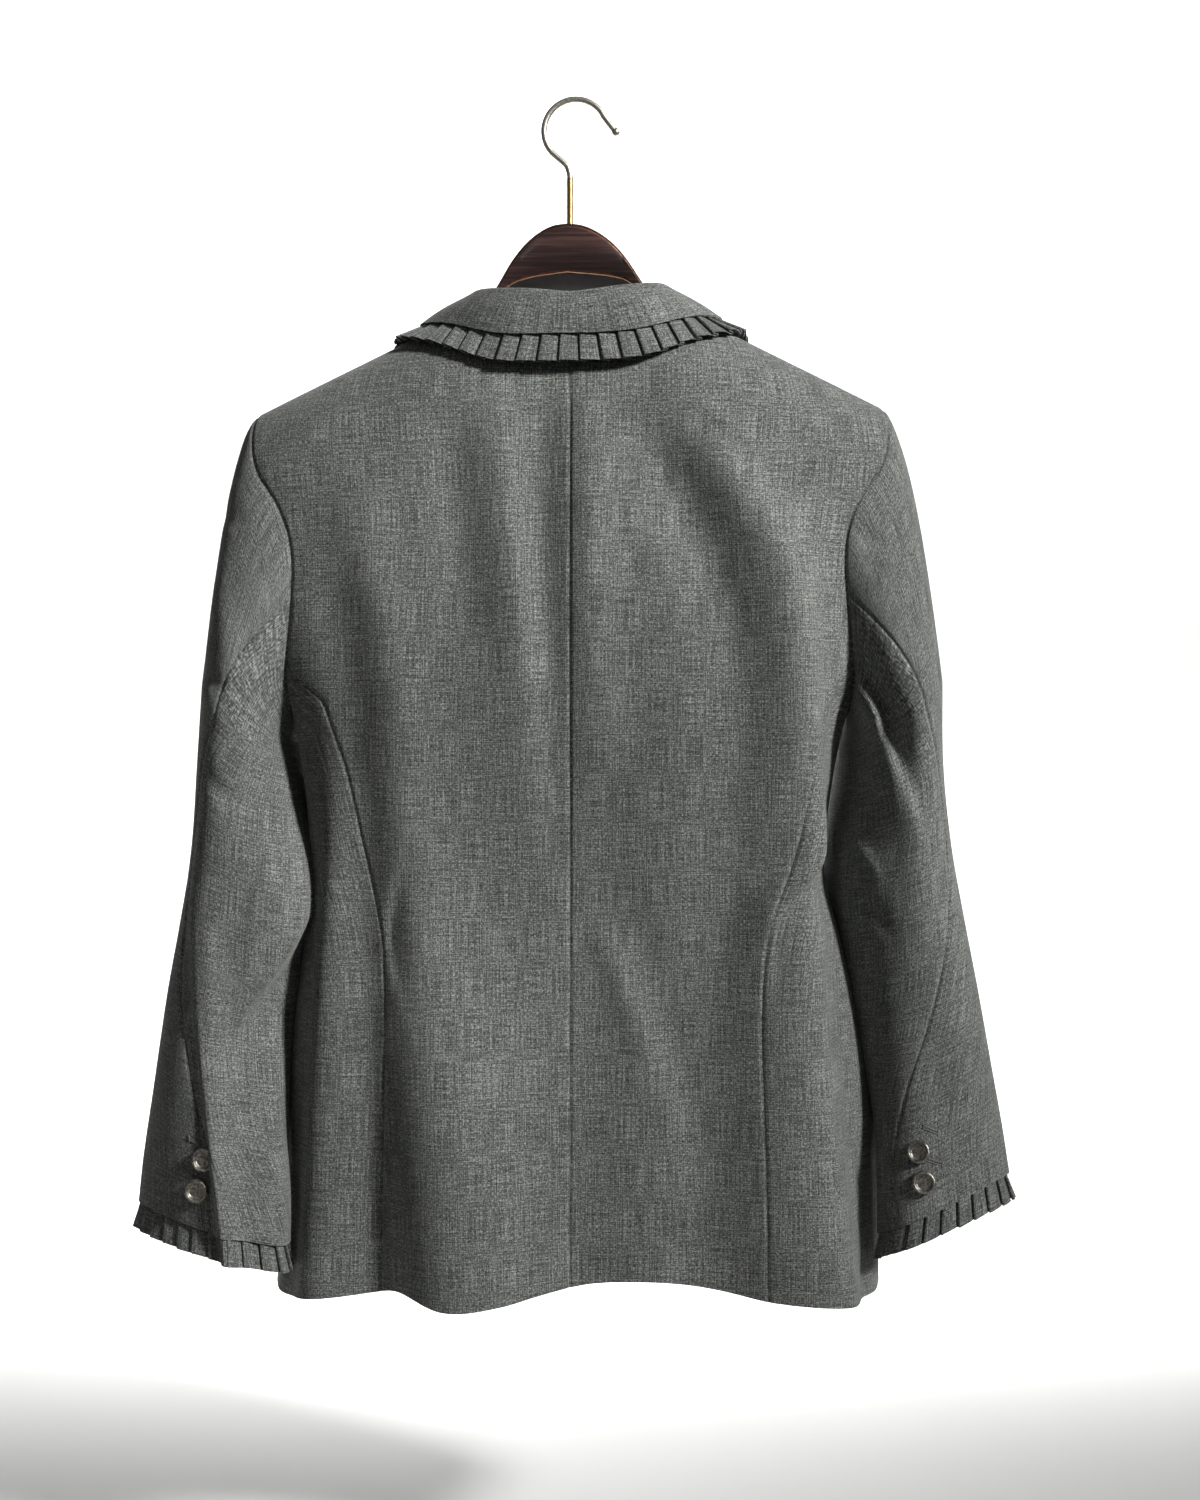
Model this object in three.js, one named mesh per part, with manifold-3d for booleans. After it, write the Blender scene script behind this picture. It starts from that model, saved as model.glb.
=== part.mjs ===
// A grey wool blazer on a wooden hanger, seen from its back.
// Millimetres, +Z up. The origin is the top of the hook's inside, where the hanger is held.
// The back of the blazer faces -Y, and +X is to the right of somebody who looks at that back.
import * as THREE from "three";
import { mergeVertices } from "three/addons/utils/BufferGeometryUtils.js";
import Module from "manifold-3d";

const wasm = await Module();
wasm.setup();

// Cloth and seams
const CLOTH_WALL = 1.8;
const LAPEL_WALL = 1.6;
const COLLAR_WALL = 1.6;
const COLLAR_ROLL = 2.4;
const FALL_BULGE = 1.5;
const TRIM_WALL = 1.0;
const SEAM_GAP = 0.3;
const LYING_GAP = 0.4;
const LAPEL_GAP = 0.8;

// Shoulders: a straight slope on each side, rounded over to front and back
const SHOULDER_PEAK = -103;
const SHOULDER_SLOPE = 0.495;
const SHOULDER_ROUND = 55;
const SHOULDER_TIP = 208;
const LEFT_DROP = 4.5;
const LEFT_DROP_WITHIN = 70;
const NECK_HALF = 72;
const BACK_NECK = -164;
const NECK_BEND = 2.2;

// Armhole: an egg standing on edge, seen from the side
const ARMHOLE_MIDDLE = -309;
const ARMHOLE_HALF_HEIGHT = 103;
const ARMHOLE_BACK = 53;
const ARMHOLE_FRONT = 46;
const BACK_SEAM_TURN = 126;
const FRONT_SEAM_TURN = 238;
const ARMHOLE_STEPS = 11;
const SIDE_STEPS = 10;
const HIND_SEAM_STEPS = 9;

// Front opening
const OVERLAP = 14;
const BREAK_HEIGHT = -430;
const CROSSING_HEIGHT = -386;
const GORGE_INNER = -203;
const GORGE_OUTER = -252;
const UNDER_FRONT_INSET = 2.6;
const UNDER_FRONT_FROM = 85;
const UNDER_FRONT_TO = 22;

// Pleated trim
const COLLAR_PLEAT = 13;
const CUFF_PLEAT = 12;
const PLEAT_RETURN = 4;
const PLEAT_LAYER = 1.28;
const COLLAR_TRIM_START = 1.2;
const COLLAR_TRIM_OUT = 1.2;
const CUFF_TRIM = 16.8;
const CUFF_TRIM_START = 0.9;
const CUFF_TRIM_OUT = 0.6;
const CUFF_TRIM_FLARE = 2.5;
const VENT_GAP_TURN = 1;

// Buttons
const CUFF_BUTTON_RADIUS = 7.6;
const FRONT_BUTTON_RADIUS = 9;
const BUTTON_HEIGHT = 4.2;
const FRONT_BUTTON_HEIGHTS = [-456, -542, -628];

// Hanger and hook
const HANGER_HALF_THICKNESS = 7;
const HANGER_ROUND = 2;
const HANGER_UNDER_CLOTH = 3.9;
const HOOK_WIRE = 2;
const HOOK_RADIUS = 21.4;
const HOOK_CENTRE_X = 3.3;
const HOOK_JOIN_TURN = 235;
const HOOK_TIP_TURN = 24;
const HOOK_BALL = 2.7;
const HOOK_SHAFT_X = -0.7;
const HOOK_NECK_X = -2.9;
const HOOK_TIP_X = 30;
const ARCH_TOP = -82;

const table = (columns, rows) =>
  rows.map((row) => Object.fromEntries(columns.map((c, i) => [c, row[i]])));

// Body: half widths and depths of the level sections, top to bottom
const bodyLevels = table(
  ["z", "left", "right", "back", "front", "power"],
  [
    [-100, 246, 246, 38, 38, 3],
    [-164, 243, 243, 46, 46, 3],
    [-206, 240, 240, 56, 55, 3],
    [-260, 233, 231, 63, 60, 3],
    [-325, 221, 218, 68, 63, 3],
    [-380, 200, 197, 68, 65, 3],
    [-412, 185, 183, 67, 66, 2.9],
    [-470, 176, 172, 63, 66, 2.7],
    [-515, 175, 169, 61, 66, 2.6],
    [-560, 178, 180, 62, 67, 2.5],
    [-605, 183, 189, 65, 68, 2.4],
    [-660, 187, 197, 69, 69, 2.3],
    [-735, 189, 203, 74, 71, 2.2],
    [-800, 196, 204, 77, 73, 2.2],
  ],
);

// Seams between back and side panels, and between front and side panels
const princessSeam = table(
  ["z", "back", "front"],
  [
    [-366, 178, 172],
    [-395, 163, 160],
    [-424, 153, 152],
    [-450, 145, 145],
    [-491, 136, 137],
    [-543, 124, 130],
    [-590, 120, 128],
    [-650, 121, 130],
    [-720, 123, 134],
    [-800, 124, 138],
  ],
);

// Hem height along the width, on the back
const hemLine = table(
  ["x", "z"],
  [
    [-210, -790],
    [-160, -791],
    [-114, -780],
    [-77, -788],
    [-42, -785],
    [-22, -781],
    [16, -774.5],
    [55, -773.5],
    [93, -778],
    [132, -786],
    [165, -791],
    [210, -797],
  ],
);
const FRONT_HEM = -790;
const SEAM_FOOT = -790;

// Edge of the front opening, from the break of the lapel to the neck point
const openingEdge = table(
  ["z", "x"],
  [
    [-430, -14],
    [-350, 14],
    [-270, 40],
    [-190, 62],
    [-138.6, 72],
  ],
);

// Largest folds of the back: a line from top to foot, its height at both ends and its half width
const backFolds = table(
  ["x1", "z1", "x2", "z2", "high1", "high2", "wide"],
  [
    [-140, -290, -119, -430, 0, -5, 15],
    [-119, -430, -114, -790, -5, -11, 15],
    [-86, -380, -77, -790, 2, 11, 26],
    [-160, -600, -164, -790, 0, 5, 18],
    [63, -228, 120, -370, -3, -6, 15],
    [120, -370, 110, -560, -6, -7, 15],
    [110, -560, 122, -760, -7, -5, 15],
    [160, -600, 160, -790, 0, 5, 18],
    [-45, -175, -45, -520, -3, -3, 14],
    [34, -175, 30, -400, 4, 2, 16],
    [4, -540, 4, -790, 0, -6, 34],
    [150, -462, 128, -522, 3, 5, 10],
  ],
);

// Sleeves, from the upper arm to the cuff. outer and inner are the reach in X, drop is how much
// higher the outer side is than the middle, lean moves the front of the section towards the body,
// and seam is the turn of the hind arm seam from the outer side.
const sleeveColumns = [
  "z", "outer", "inner", "midY", "halfY", "lean", "drop", "seam", "foreSeam",
];
const sleeveLevels = {
  left: table(sleeveColumns, [
    [-412, 240, 182, 0, 66, 12, 27, 84, 236],
    [-456, 244.5, 178.5, 4, 62, 14, 18, 62, 232],
    [-508, 249.5, 173, 6, 57, 15, 14, 52, 228],
    [-560, 257.5, 178.5, 4, 50, 14, 13, 58, 226],
    [-612, 266, 187, -4, 43, 10, 13, 70, 226],
    [-664, 273, 189.5, -15, 36, 2, 13, 84, 226],
    [-710, 280, 186, -23, 31, -6, 12, 98, 228],
    [-741, 283.5, 185.5, -26, 29, -10, 12, 102, 230],
  ]),
  right: table(sleeveColumns, [
    [-410, 243, 181.5, 0, 66, 12, 27, 84, 236],
    [-456, 244.5, 176.5, 4, 62, 14, 18, 60, 232],
    [-508, 251, 170, 7, 57, 16, 15, 55, 230],
    [-556, 260, 180.5, 6, 50, 15, 15, 74, 230],
    [-604, 269, 191, 2, 44, 14, 16, 106, 234],
    [-652, 277, 201.5, -8, 38, 6, 18, 136, 240],
    [-698, 285, 201.5, -19, 32, -6, 19, 136, 246],
    [-731, 290, 200.5, -24, 29, -12, 19, 125, 246],
  ]),
};

// How the sleeve leaves the armhole and reaches its first section, by turn from the shoulder
const capReach = table(
  ["turn", "outX", "outY", "outZ", "inX", "inZ"],
  [
    [0, 54, 0, -66, 22, -200],
    [90, 40, -22, -36, 14, -95],
    [180, 8, 0, -8, -8, -40],
    [270, 40, 22, -36, 14, -95],
    [360, 54, 0, -66, 22, -200],
  ],
);

// Largest folds of the sleeves: turn and height at both ends, height of the fold and half width
const sleeveFolds = {
  left: table(
    ["turn1", "z1", "turn2", "z2", "high", "wide"],
    [
      [118, -430, 84, -520, 3.5, 13],
      [120, -500, 80, -600, 3, 12],
      [130, -560, 96, -660, -3, 12],
    ],
  ),
  right: table(
    ["turn1", "z1", "turn2", "z2", "high", "wide"],
    [
      [140, -372, 78, -470, -6, 12],
      [150, -400, 112, -440, 4, 10],
      [150, -470, 100, -540, -3.5, 12],
      [130, -500, 96, -590, 3.5, 14],
    ],
  ),
};

// Collar, from the middle of the back to its front end: foot of the stand, fold, edge of the
// fall, and the free edge of the trim sewn to it
const collarStations = table(
  ["foot", "fold", "edge", "trim"],
  [
    [[0, -46, -163.2], [0, -50, -137], [0, -58, -166], [0, -61.5, -184]],
    [[20, -45, -161.6], [17, -49, -136], [22, -57.5, -165.3], [25, -61, -183]],
    [[41, -40.5, -155.6], [34, -44.5, -133], [46, -54, -162], [51, -58, -179]],
    [[60, -29, -146], [54, -31, -129.5], [77, -35, -151], [85, -45, -167]],
    [[69.5, -12, -138.4], [62, -12, -129.5], [95, -17, -147], [108, -24, -157]],
    [[70, 6, -138.2], [64.5, 8, -131], [102, 7, -146], [118, 9, -154]],
    [[68, 27, -149], [64, 31, -141], [106, 32, -164], [122, 36, -174]],
    [[64, 44, -169], [61.5, 49, -163], [105, 53, -190], [120, 56, -202]],
    [[60.6, 52, -189.5], [59, 58, -187], [98, 62, -213], [111, 64, -226]],
  ],
);

// Half outline of the hanger above the arms, and below them
const hangerTop = table(
  ["x", "z"],
  [
    [0, -82],
    [10, -83.2],
    [20, -87.6],
    [29.5, -94.8],
    [37.5, -103.8],
    [43, -112],
    [48, -120],
    [57, -133],
    [67, -142.5],
  ],
);
const hangerBottom = table(
  ["x", "z"],
  [
    [182, -219],
    [130, -194],
    [84, -170],
    [62, -149],
    [48, -129],
    [35.5, -119.5],
    [0, -115],
  ],
);
const HANGER_ARM_FROM = 80;
const HANGER_ARM_TO = 190;
const ARCH_SHIFT = -2.5;
const ARCH_SHIFT_WITHIN = 90;

const lerp = (a, b, t) => a + (b - a) * t;
const clamp = (v, low, high) => Math.min(high, Math.max(low, v));
const radians = THREE.MathUtils.degToRad;
const smooth = (t) => {
  const s = clamp(t, 0, 1);
  return s * s * (3 - 2 * s);
};

// The value of one column, smoothly between the rows of a table
function along(rows, key, column, at) {
  const up = rows[rows.length - 1][key] > rows[0][key] ? 1 : -1;
  let i = 0;
  while (i < rows.length - 2 && up * (at - rows[i + 1][key]) > 0) i++;
  const slope = (k) => {
    const a = rows[Math.max(0, k - 1)];
    const b = rows[Math.min(rows.length - 1, k + 1)];
    return (b[column] - a[column]) / (b[key] - a[key]);
  };
  const from = rows[i];
  const to = rows[i + 1];
  const span = to[key] - from[key];
  const t = clamp((at - from[key]) / span, 0, 1);
  const t2 = t * t;
  const t3 = t2 * t;
  return (
    (2 * t3 - 3 * t2 + 1) * from[column] +
    (t3 - 2 * t2 + t) * span * slope(i) +
    (3 * t2 - 2 * t3) * to[column] +
    (t3 - t2) * span * slope(i + 1)
  );
}

// The left shoulder hangs a little lower
const settle = (x) => -LEFT_DROP * smooth(-x / LEFT_DROP_WITHIN);
const shoulderHeight = (x) => SHOULDER_PEAK - SHOULDER_SLOPE * Math.abs(x) + settle(x);
const armholeMiddle = (hand) => ARMHOLE_MIDDLE + settle(hand * SHOULDER_TIP);

function bodyAt(x, z, side) {
  const height = clamp(z, -800, -100);
  return {
    half: along(bodyLevels, "z", x < 0 ? "left" : "right", height),
    depth: along(bodyLevels, "z", side < 0 ? "back" : "front", height),
    power: along(bodyLevels, "z", "power", height),
  };
}

// How far a soft fold stands out at one place
function foldHeight(folds, x, z) {
  let sum = 0;
  for (const f of folds) {
    const t = clamp((z - f.z1) / (f.z2 - f.z1), -1, 2);
    const off = (x - lerp(f.x1, f.x2, clamp(t, 0, 1))) / f.wide;
    const ends = f.high1 === 0 ? smooth(t * 2) : smooth(1 + t * 4);
    const foot = f.z2 < -780 ? 1 : smooth((1 - t) * 4 + 1);
    sum += lerp(f.high1, f.high2, clamp(t, 0, 1)) * Math.exp(-off * off) * ends * foot;
  }
  return sum;
}

function bodyFold(x, z, side) {
  if (side > 0) return 0;
  const { half } = bodyAt(x, z, side);
  const edge = smooth((half - Math.abs(x)) / 24);
  const top = smooth((shoulderHeight(x) - z - 20) / 60);
  return foldHeight(backFolds, x, z) * edge * top;
}

// Depth of the body's outside at one place of the back (side -1) or front (side 1)
function bodyY(x, z, side) {
  const { half, depth, power } = bodyAt(x, z, side);
  const section = (1 - clamp(Math.abs(x / half), 0, 1) ** power) ** (1 / power);
  const rise = clamp((shoulderHeight(x) - z) / SHOULDER_ROUND, 0, 1);
  const ridge = Math.sqrt(1 - (1 - rise) ** 2);
  return side * (depth * section * ridge + bodyFold(x, z, side));
}

// Zero on the body's outside, and growing outwards
function bodyLevel(x, y, z, side) {
  const { half, depth, power } = bodyAt(x, z, side);
  const wide = clamp(Math.abs(x / half), 0, 1);
  const section = (1 - wide ** power) ** (1 / power);
  const rise = clamp((shoulderHeight(x) - z) / SHOULDER_ROUND, -1, 1);
  const flat = y - side * bodyFold(x, z, side);
  const deep = Math.hypot(flat, (1 - rise) * depth * section) / depth;
  return (Math.abs(x / half) ** power + deep ** power) ** (1 / power);
}

function bodyNormal(p, side) {
  const e = 0.02;
  const d = (i) => {
    const a = p.clone();
    const b = p.clone();
    a.setComponent(i, p.getComponent(i) + e);
    b.setComponent(i, p.getComponent(i) - e);
    return bodyLevel(a.x, a.y, a.z, side) - bodyLevel(b.x, b.y, b.z, side);
  };
  return new THREE.Vector3(d(0), d(1), d(2)).normalize();
}

// A place on the armhole edge, by its turn: 0 shoulder, 90 back, 180 underarm, 270 front
function armhole(hand, turn) {
  const a = radians(turn);
  const side = Math.sin(a) >= 0 ? -1 : 1;
  const reach = side < 0 ? ARMHOLE_BACK : ARMHOLE_FRONT;
  const y = -reach * Math.sin(a);
  const z = armholeMiddle(hand) + ARMHOLE_HALF_HEIGHT * Math.cos(a);
  let near = 120;
  let far = 260;
  for (let i = 0; i < 40; i++) {
    const x = (near + far) / 2;
    if (bodyLevel(hand * x, y, z, side) > 1) far = x;
    else near = x;
  }
  return new THREE.Vector3(hand * near, y, z);
}

// Volume inside a closed surface, less than nothing where its faces point inwards
function volumeOf(points, index) {
  let sum = 0;
  for (let i = 0; i < index.length; i += 3) {
    const [a, b, c] = [0, 1, 2].map((k) => points[index[i + k]]);
    sum += a.dot(b.clone().cross(c)) / 6;
  }
  return sum;
}

// A closed shell: outside points in rows and columns, and the same moved inwards by the wall
function shell(outside, inside) {
  const rows = outside.length;
  const cols = outside[0].length;
  const points = [...outside.flat(), ...inside.flat()];
  const at = (r, c, layer) => layer * rows * cols + r * cols + c;
  const index = [];
  const quad = (a, b, c, d) => index.push(a, b, c, a, c, d);
  for (let r = 0; r + 1 < rows; r++) {
    for (let c = 0; c + 1 < cols; c++) {
      quad(at(r, c, 0), at(r, c + 1, 0), at(r + 1, c + 1, 0), at(r + 1, c, 0));
      quad(at(r, c, 1), at(r + 1, c, 1), at(r + 1, c + 1, 1), at(r, c + 1, 1));
    }
    quad(at(r, 0, 0), at(r + 1, 0, 0), at(r + 1, 0, 1), at(r, 0, 1));
    quad(at(r, cols - 1, 0), at(r, cols - 1, 1), at(r + 1, cols - 1, 1), at(r + 1, cols - 1, 0));
  }
  for (let c = 0; c + 1 < cols; c++) {
    quad(at(0, c, 0), at(0, c, 1), at(0, c + 1, 1), at(0, c + 1, 0));
    quad(at(rows - 1, c, 0), at(rows - 1, c + 1, 0), at(rows - 1, c + 1, 1), at(rows - 1, c, 1));
  }
  if (volumeOf(points, index) < 0) index.reverse();
  const geometry = new THREE.BufferGeometry();
  geometry.setAttribute(
    "position",
    new THREE.Float32BufferAttribute(points.flatMap((p) => [p.x, p.y, p.z]), 3),
  );
  geometry.setIndex(index);
  geometry.computeVertexNormals();
  return geometry;
}

// Draws the edges of a grid back by half a seam gap
function openSeams(grid) {
  const rows = grid.length;
  const cols = grid[0].length;
  const pull = (p, inner) => {
    const way = inner.clone().sub(p);
    return p.clone().addScaledVector(way.normalize(), SEAM_GAP / 2);
  };
  for (const row of grid) {
    const first = pull(row[0], row[1]);
    const last = pull(row[cols - 1], row[cols - 2]);
    row[0] = first;
    row[cols - 1] = last;
  }
  for (let c = 0; c < cols; c++) {
    const low = pull(grid[0][c], grid[1][c]);
    const high = pull(grid[rows - 1][c], grid[rows - 2][c]);
    grid[0][c] = low;
    grid[rows - 1][c] = high;
  }
  return grid;
}

// A point between four edges that meet at their corners
function between(edges, u, v) {
  const [foot, head, near, far] = [edges.foot(u), edges.head(u), edges.near(v), edges.far(v)];
  const corners = [edges.foot(0), edges.foot(1), edges.head(0), edges.head(1)];
  return [0, 1].map(
    (i) =>
      lerp(foot[i], head[i], v) +
      lerp(near[i], far[i], u) -
      lerp(lerp(corners[0][i], corners[1][i], u), lerp(corners[2][i], corners[3][i], u), v),
  );
}

function gridOf(columns, rows, place) {
  return rows.map((v) => columns.map((u) => place(u, v)));
}

const steps = (count, from = 0, to = 1) =>
  Array.from({ length: count + 1 }, (_, i) => lerp(from, to, i / count));

function insetBy(grid, normalOf, wall) {
  return grid.map((row) => row.map((p) => p.clone().addScaledVector(normalOf(p), -wall)));
}

function bodyPanel(grid, side) {
  return shell(grid, insetBy(grid, (p) => bodyNormal(p, side), CLOTH_WALL));
}

// Rows of the long panels: evenly up the side seam, then step by step round the armhole
const SEAM_SHARE = 0.6;
const SEAM_ROWS = steps(12, 0, SEAM_SHARE);
const PANEL_ROWS = [...SEAM_ROWS, ...steps(ARMHOLE_STEPS, SEAM_SHARE, 1).slice(1)];
const armholePart = (v) => (v - SEAM_SHARE) / (1 - SEAM_SHARE);

// Height of a row above the side seam, closer together towards the shoulder
function rowHeight(low, high, v) {
  const deepest = Math.cos(radians(BACK_SEAM_TURN));
  const share = Math.cos(radians(BACK_SEAM_TURN * (1 - armholePart(v))));
  return lerp(low, high, (share - deepest) / (1 - deepest));
}

const seamAt = (z, column) => along(princessSeam, "z", column, clamp(z, -800, -366));

// The long edge of a back or front panel: seam of the side panel, then the armhole
function sideEdge(hand, side, hem, v) {
  const turn = side < 0 ? BACK_SEAM_TURN : FRONT_SEAM_TURN;
  const corner = armhole(hand, turn);
  if (v <= SEAM_SHARE) {
    const z = lerp(hem, corner.z, v / SEAM_SHARE);
    const x = seamAt(z, side < 0 ? "back" : "front");
    const meet = smooth((z - (corner.z - 30)) / 30);
    return [lerp(x, Math.abs(corner.x), meet), z];
  }
  const end = side < 0 ? 0 : 360;
  const p = armhole(hand, lerp(turn, end, armholePart(v)));
  return [Math.abs(p.x), p.z];
}

function backPanel(hand) {
  const hem = (x) => along(hemLine, "x", "z", hand * x);
  const foot = (u) => {
    const x = u * seamAt(SEAM_FOOT, "back");
    return [x, hem(x)];
  };
  const neckShare = NECK_HALF / SHOULDER_TIP;
  const neckPoint = SHOULDER_PEAK - SHOULDER_SLOPE * NECK_HALF;
  const head = (u) => {
    const x = u * SHOULDER_TIP;
    if (u >= neckShare) return [x, shoulderHeight(hand * x)];
    return [x, lerp(BACK_NECK, neckPoint, (x / NECK_HALF) ** NECK_BEND) + settle(hand * x)];
  };
  const corner = armhole(hand, BACK_SEAM_TURN).z;
  const near = (v) => {
    if (v <= SEAM_SHARE) return [0, lerp(hem(0), corner, v / SEAM_SHARE)];
    return [0, rowHeight(corner, BACK_NECK, v)];
  };
  const far = (v) => sideEdge(hand, -1, hem(seamAt(SEAM_FOOT, "back")), v);
  const columns = [
    ...steps(4, 0, neckShare),
    ...steps(6, neckShare, 1).slice(1),
  ];
  const edges = { foot, head, near, far };
  const grid = gridOf(columns, PANEL_ROWS, (u, v) => {
    const [x, z] = between(edges, u, v);
    return new THREE.Vector3(hand * x, bodyY(hand * x, z, -1), z);
  });
  return bodyPanel(openSeams(grid), -1);
}

// The right front lies over the left one, which is set in under it
function underInset(hand, x) {
  if (hand > 0) return 0;
  return UNDER_FRONT_INSET * smooth((x + UNDER_FRONT_FROM) / (UNDER_FRONT_FROM - UNDER_FRONT_TO));
}

function frontY(hand, x, z) {
  return bodyY(x, z, 1) - underInset(hand, x);
}

function frontPanel(hand) {
  const corner = armhole(hand, FRONT_SEAM_TURN).z;
  const foot = (u) => [lerp(-OVERLAP, seamAt(SEAM_FOOT, "front"), u), FRONT_HEM];
  const head = (u) => {
    const x = lerp(NECK_HALF, SHOULDER_TIP, u);
    return [x, shoulderHeight(hand * x)];
  };
  const near = (v) => {
    const z =
      v <= SEAM_SHARE
        ? lerp(FRONT_HEM, corner, v / SEAM_SHARE)
        : rowHeight(corner, shoulderHeight(hand * NECK_HALF), v);
    return [z < BREAK_HEIGHT ? -OVERLAP : along(openingEdge, "z", "x", z), z];
  };
  const far = (v) => sideEdge(hand, 1, FRONT_HEM, v);
  const edges = { foot, head, near, far };
  const grid = gridOf(steps(7), PANEL_ROWS, (u, v) => {
    const [x, z] = between(edges, u, v);
    return new THREE.Vector3(hand * x, frontY(hand, hand * x, z), z);
  });
  return bodyPanel(openSeams(grid), 1);
}

// The side panel runs round the side of the body, from the back seam to the front seam
function sidePanel(hand) {
  const roundOf = (x, z, side) => {
    const { half, power } = bodyAt(hand, z, side);
    return -side * Math.acos(clamp(x / half, 0, 1) ** (power / 2));
  };
  const place = (round, z) => {
    const side = round > 0 ? -1 : 1;
    const { half, depth, power } = bodyAt(hand, z, side);
    const x = hand * half * Math.cos(round) ** (2 / power);
    const y = side * depth * Math.abs(Math.sin(round)) ** (2 / power);
    return new THREE.Vector3(x, y + side * bodyFold(x, z, side), z);
  };
  const hemAt = (round) => {
    const share = smooth(round + 0.5);
    return lerp(FRONT_HEM, along(hemLine, "x", "z", hand * 175), share);
  };
  const edge = (side, v) => {
    const turn = side < 0 ? BACK_SEAM_TURN : FRONT_SEAM_TURN;
    const hem = side < 0 ? along(hemLine, "x", "z", hand * seamAt(SEAM_FOOT, "back")) : FRONT_HEM;
    const z = lerp(hem, armhole(hand, turn).z, v);
    const [x] = sideEdge(hand, side, hem, v * SEAM_SHARE);
    return [roundOf(x, z, side), z];
  };
  const near = (v) => edge(-1, v);
  const far = (v) => edge(1, v);
  const head = (u) => {
    const p = armhole(hand, lerp(BACK_SEAM_TURN, FRONT_SEAM_TURN, u));
    return [roundOf(Math.abs(p.x), p.z, p.y > 0 ? 1 : -1), p.z];
  };
  const foot = (u) => {
    const round = lerp(near(0)[0], far(0)[0], u);
    const ends = lerp(near(0)[1], far(0)[1], u);
    return [round, lerp(ends, hemAt(round), Math.sin(Math.PI * u))];
  };
  const edges = { foot, head, near, far };
  const rows = SEAM_ROWS.map((v) => v / SEAM_SHARE);
  const grid = gridOf(steps(SIDE_STEPS), rows, (u, v) => place(...between(edges, u, v)));
  const inside = openSeams(grid).map((row) =>
    row.map((p) => p.clone().addScaledVector(bodyNormal(p, p.y > 0 ? 1 : -1), -CLOTH_WALL)),
  );
  return shell(grid, inside);
}

// A lapel lies on its front panel, from the roll line outwards
const lapelOuter = table(
  ["z", "x"],
  [
    [-430, -8],
    [-405, 22],
    [-370, 48],
    [-320, 74],
    [-252, 97],
  ],
);

function lapel(hand) {
  const low = hand > 0 ? BREAK_HEIGHT + 1 : CROSSING_HEIGHT;
  const high = GORGE_INNER;
  const peak = GORGE_OUTER;
  const roll = (z) => along(openingEdge, "z", "x", z) + 0.2;
  const outer = (z) => along(lapelOuter, "z", "x", z);
  const near = (v) => {
    const z = lerp(low, high, v);
    return [roll(z), z];
  };
  const far = (v) => {
    const z = lerp(low, peak, v);
    return [outer(z), z];
  };
  const foot = (u) => [lerp(roll(low), outer(low), u), low];
  const head = (u) => [lerp(roll(high), outer(peak), u), lerp(high, peak, u)];
  const edges = { foot, head, near, far };
  const grid = gridOf(steps(4), steps(10), (u, v) => {
    const [x, z] = between(edges, u, v);
    return new THREE.Vector3(hand * x, frontY(hand, hand * x, z), z);
  });
  const raised = (height) =>
    grid.map((row) => row.map((p) => p.clone().addScaledVector(bodyNormal(p, 1), height)));
  return shell(raised(LAPEL_GAP + LAPEL_WALL), raised(LAPEL_GAP));
}

// Sleeves
const names = { "-1": "left", 1: "right" };

function sleeveRing(hand, z, turn) {
  const rows = sleeveLevels[names[hand]];
  const value = (column) => along(rows, "z", column, z);
  const a = radians(turn);
  const reach = (value("outer") - value("inner")) / 2;
  const middle = (value("outer") + value("inner")) / 2;
  const wide = Math.sqrt(reach ** 2 - value("lean") ** 2);
  return new THREE.Vector3(
    hand * (middle + wide * Math.cos(a) + value("lean") * Math.sin(a)),
    value("midY") - value("halfY") * Math.sin(a),
    z + value("drop") * Math.cos(a),
  );
}

// A place on the sleeve: down 0 to 1 is the cap, 1 to 2 runs from the upper arm to the cuff
function sleeveBase(hand, down, turn) {
  const rows = sleeveLevels[names[hand]];
  const top = rows[0].z;
  const cuff = rows[rows.length - 1].z;
  if (down >= 1) return sleeveRing(hand, lerp(top, cuff, down - 1), turn);
  const start = armhole(hand, turn);
  const end = sleeveRing(hand, top, turn);
  const round = ((turn % 360) + 360) % 360;
  const reach = (column) => along(capReach, "turn", column, round);
  const out = new THREE.Vector3(hand * reach("outX"), reach("outY"), reach("outZ"));
  const into = new THREE.Vector3(hand * reach("inX"), 0, reach("inZ"));
  const t = down;
  return new THREE.Vector3()
    .addScaledVector(start, 2 * t ** 3 - 3 * t ** 2 + 1)
    .addScaledVector(out, t ** 3 - 2 * t ** 2 + t)
    .addScaledVector(end, 3 * t ** 2 - 2 * t ** 3)
    .addScaledVector(into, t ** 3 - t ** 2);
}

function sleeveNormal(hand, down, turn, place) {
  const e = 0.002;
  const low = Math.max(0.001, down);
  const across = place(hand, low, turn + 1).sub(place(hand, low, turn - 1));
  const length = place(hand, Math.min(2, low + e), turn).sub(place(hand, low - e / 2, turn));
  return across.cross(length).multiplyScalar(hand).normalize();
}

function sleevePoint(hand, down, turn) {
  const p = sleeveBase(hand, down, turn);
  let high = 0;
  for (const f of sleeveFolds[names[hand]]) {
    const t = (p.z - f.z1) / (f.z2 - f.z1);
    const off = (turn - lerp(f.turn1, f.turn2, clamp(t, 0, 1))) / f.wide;
    const ends = smooth(t * 3 + 1) * smooth((1 - t) * 3 + 1);
    high += f.high * Math.exp(-off * off) * ends;
  }
  const fade = smooth(down * 3) * smooth((2 - down) * 4);
  return p.addScaledVector(sleeveNormal(hand, down, turn, sleeveBase), high * fade);
}

const SLEEVE_ROWS = [...steps(5), ...steps(8, 1, 2).slice(1)];

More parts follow.
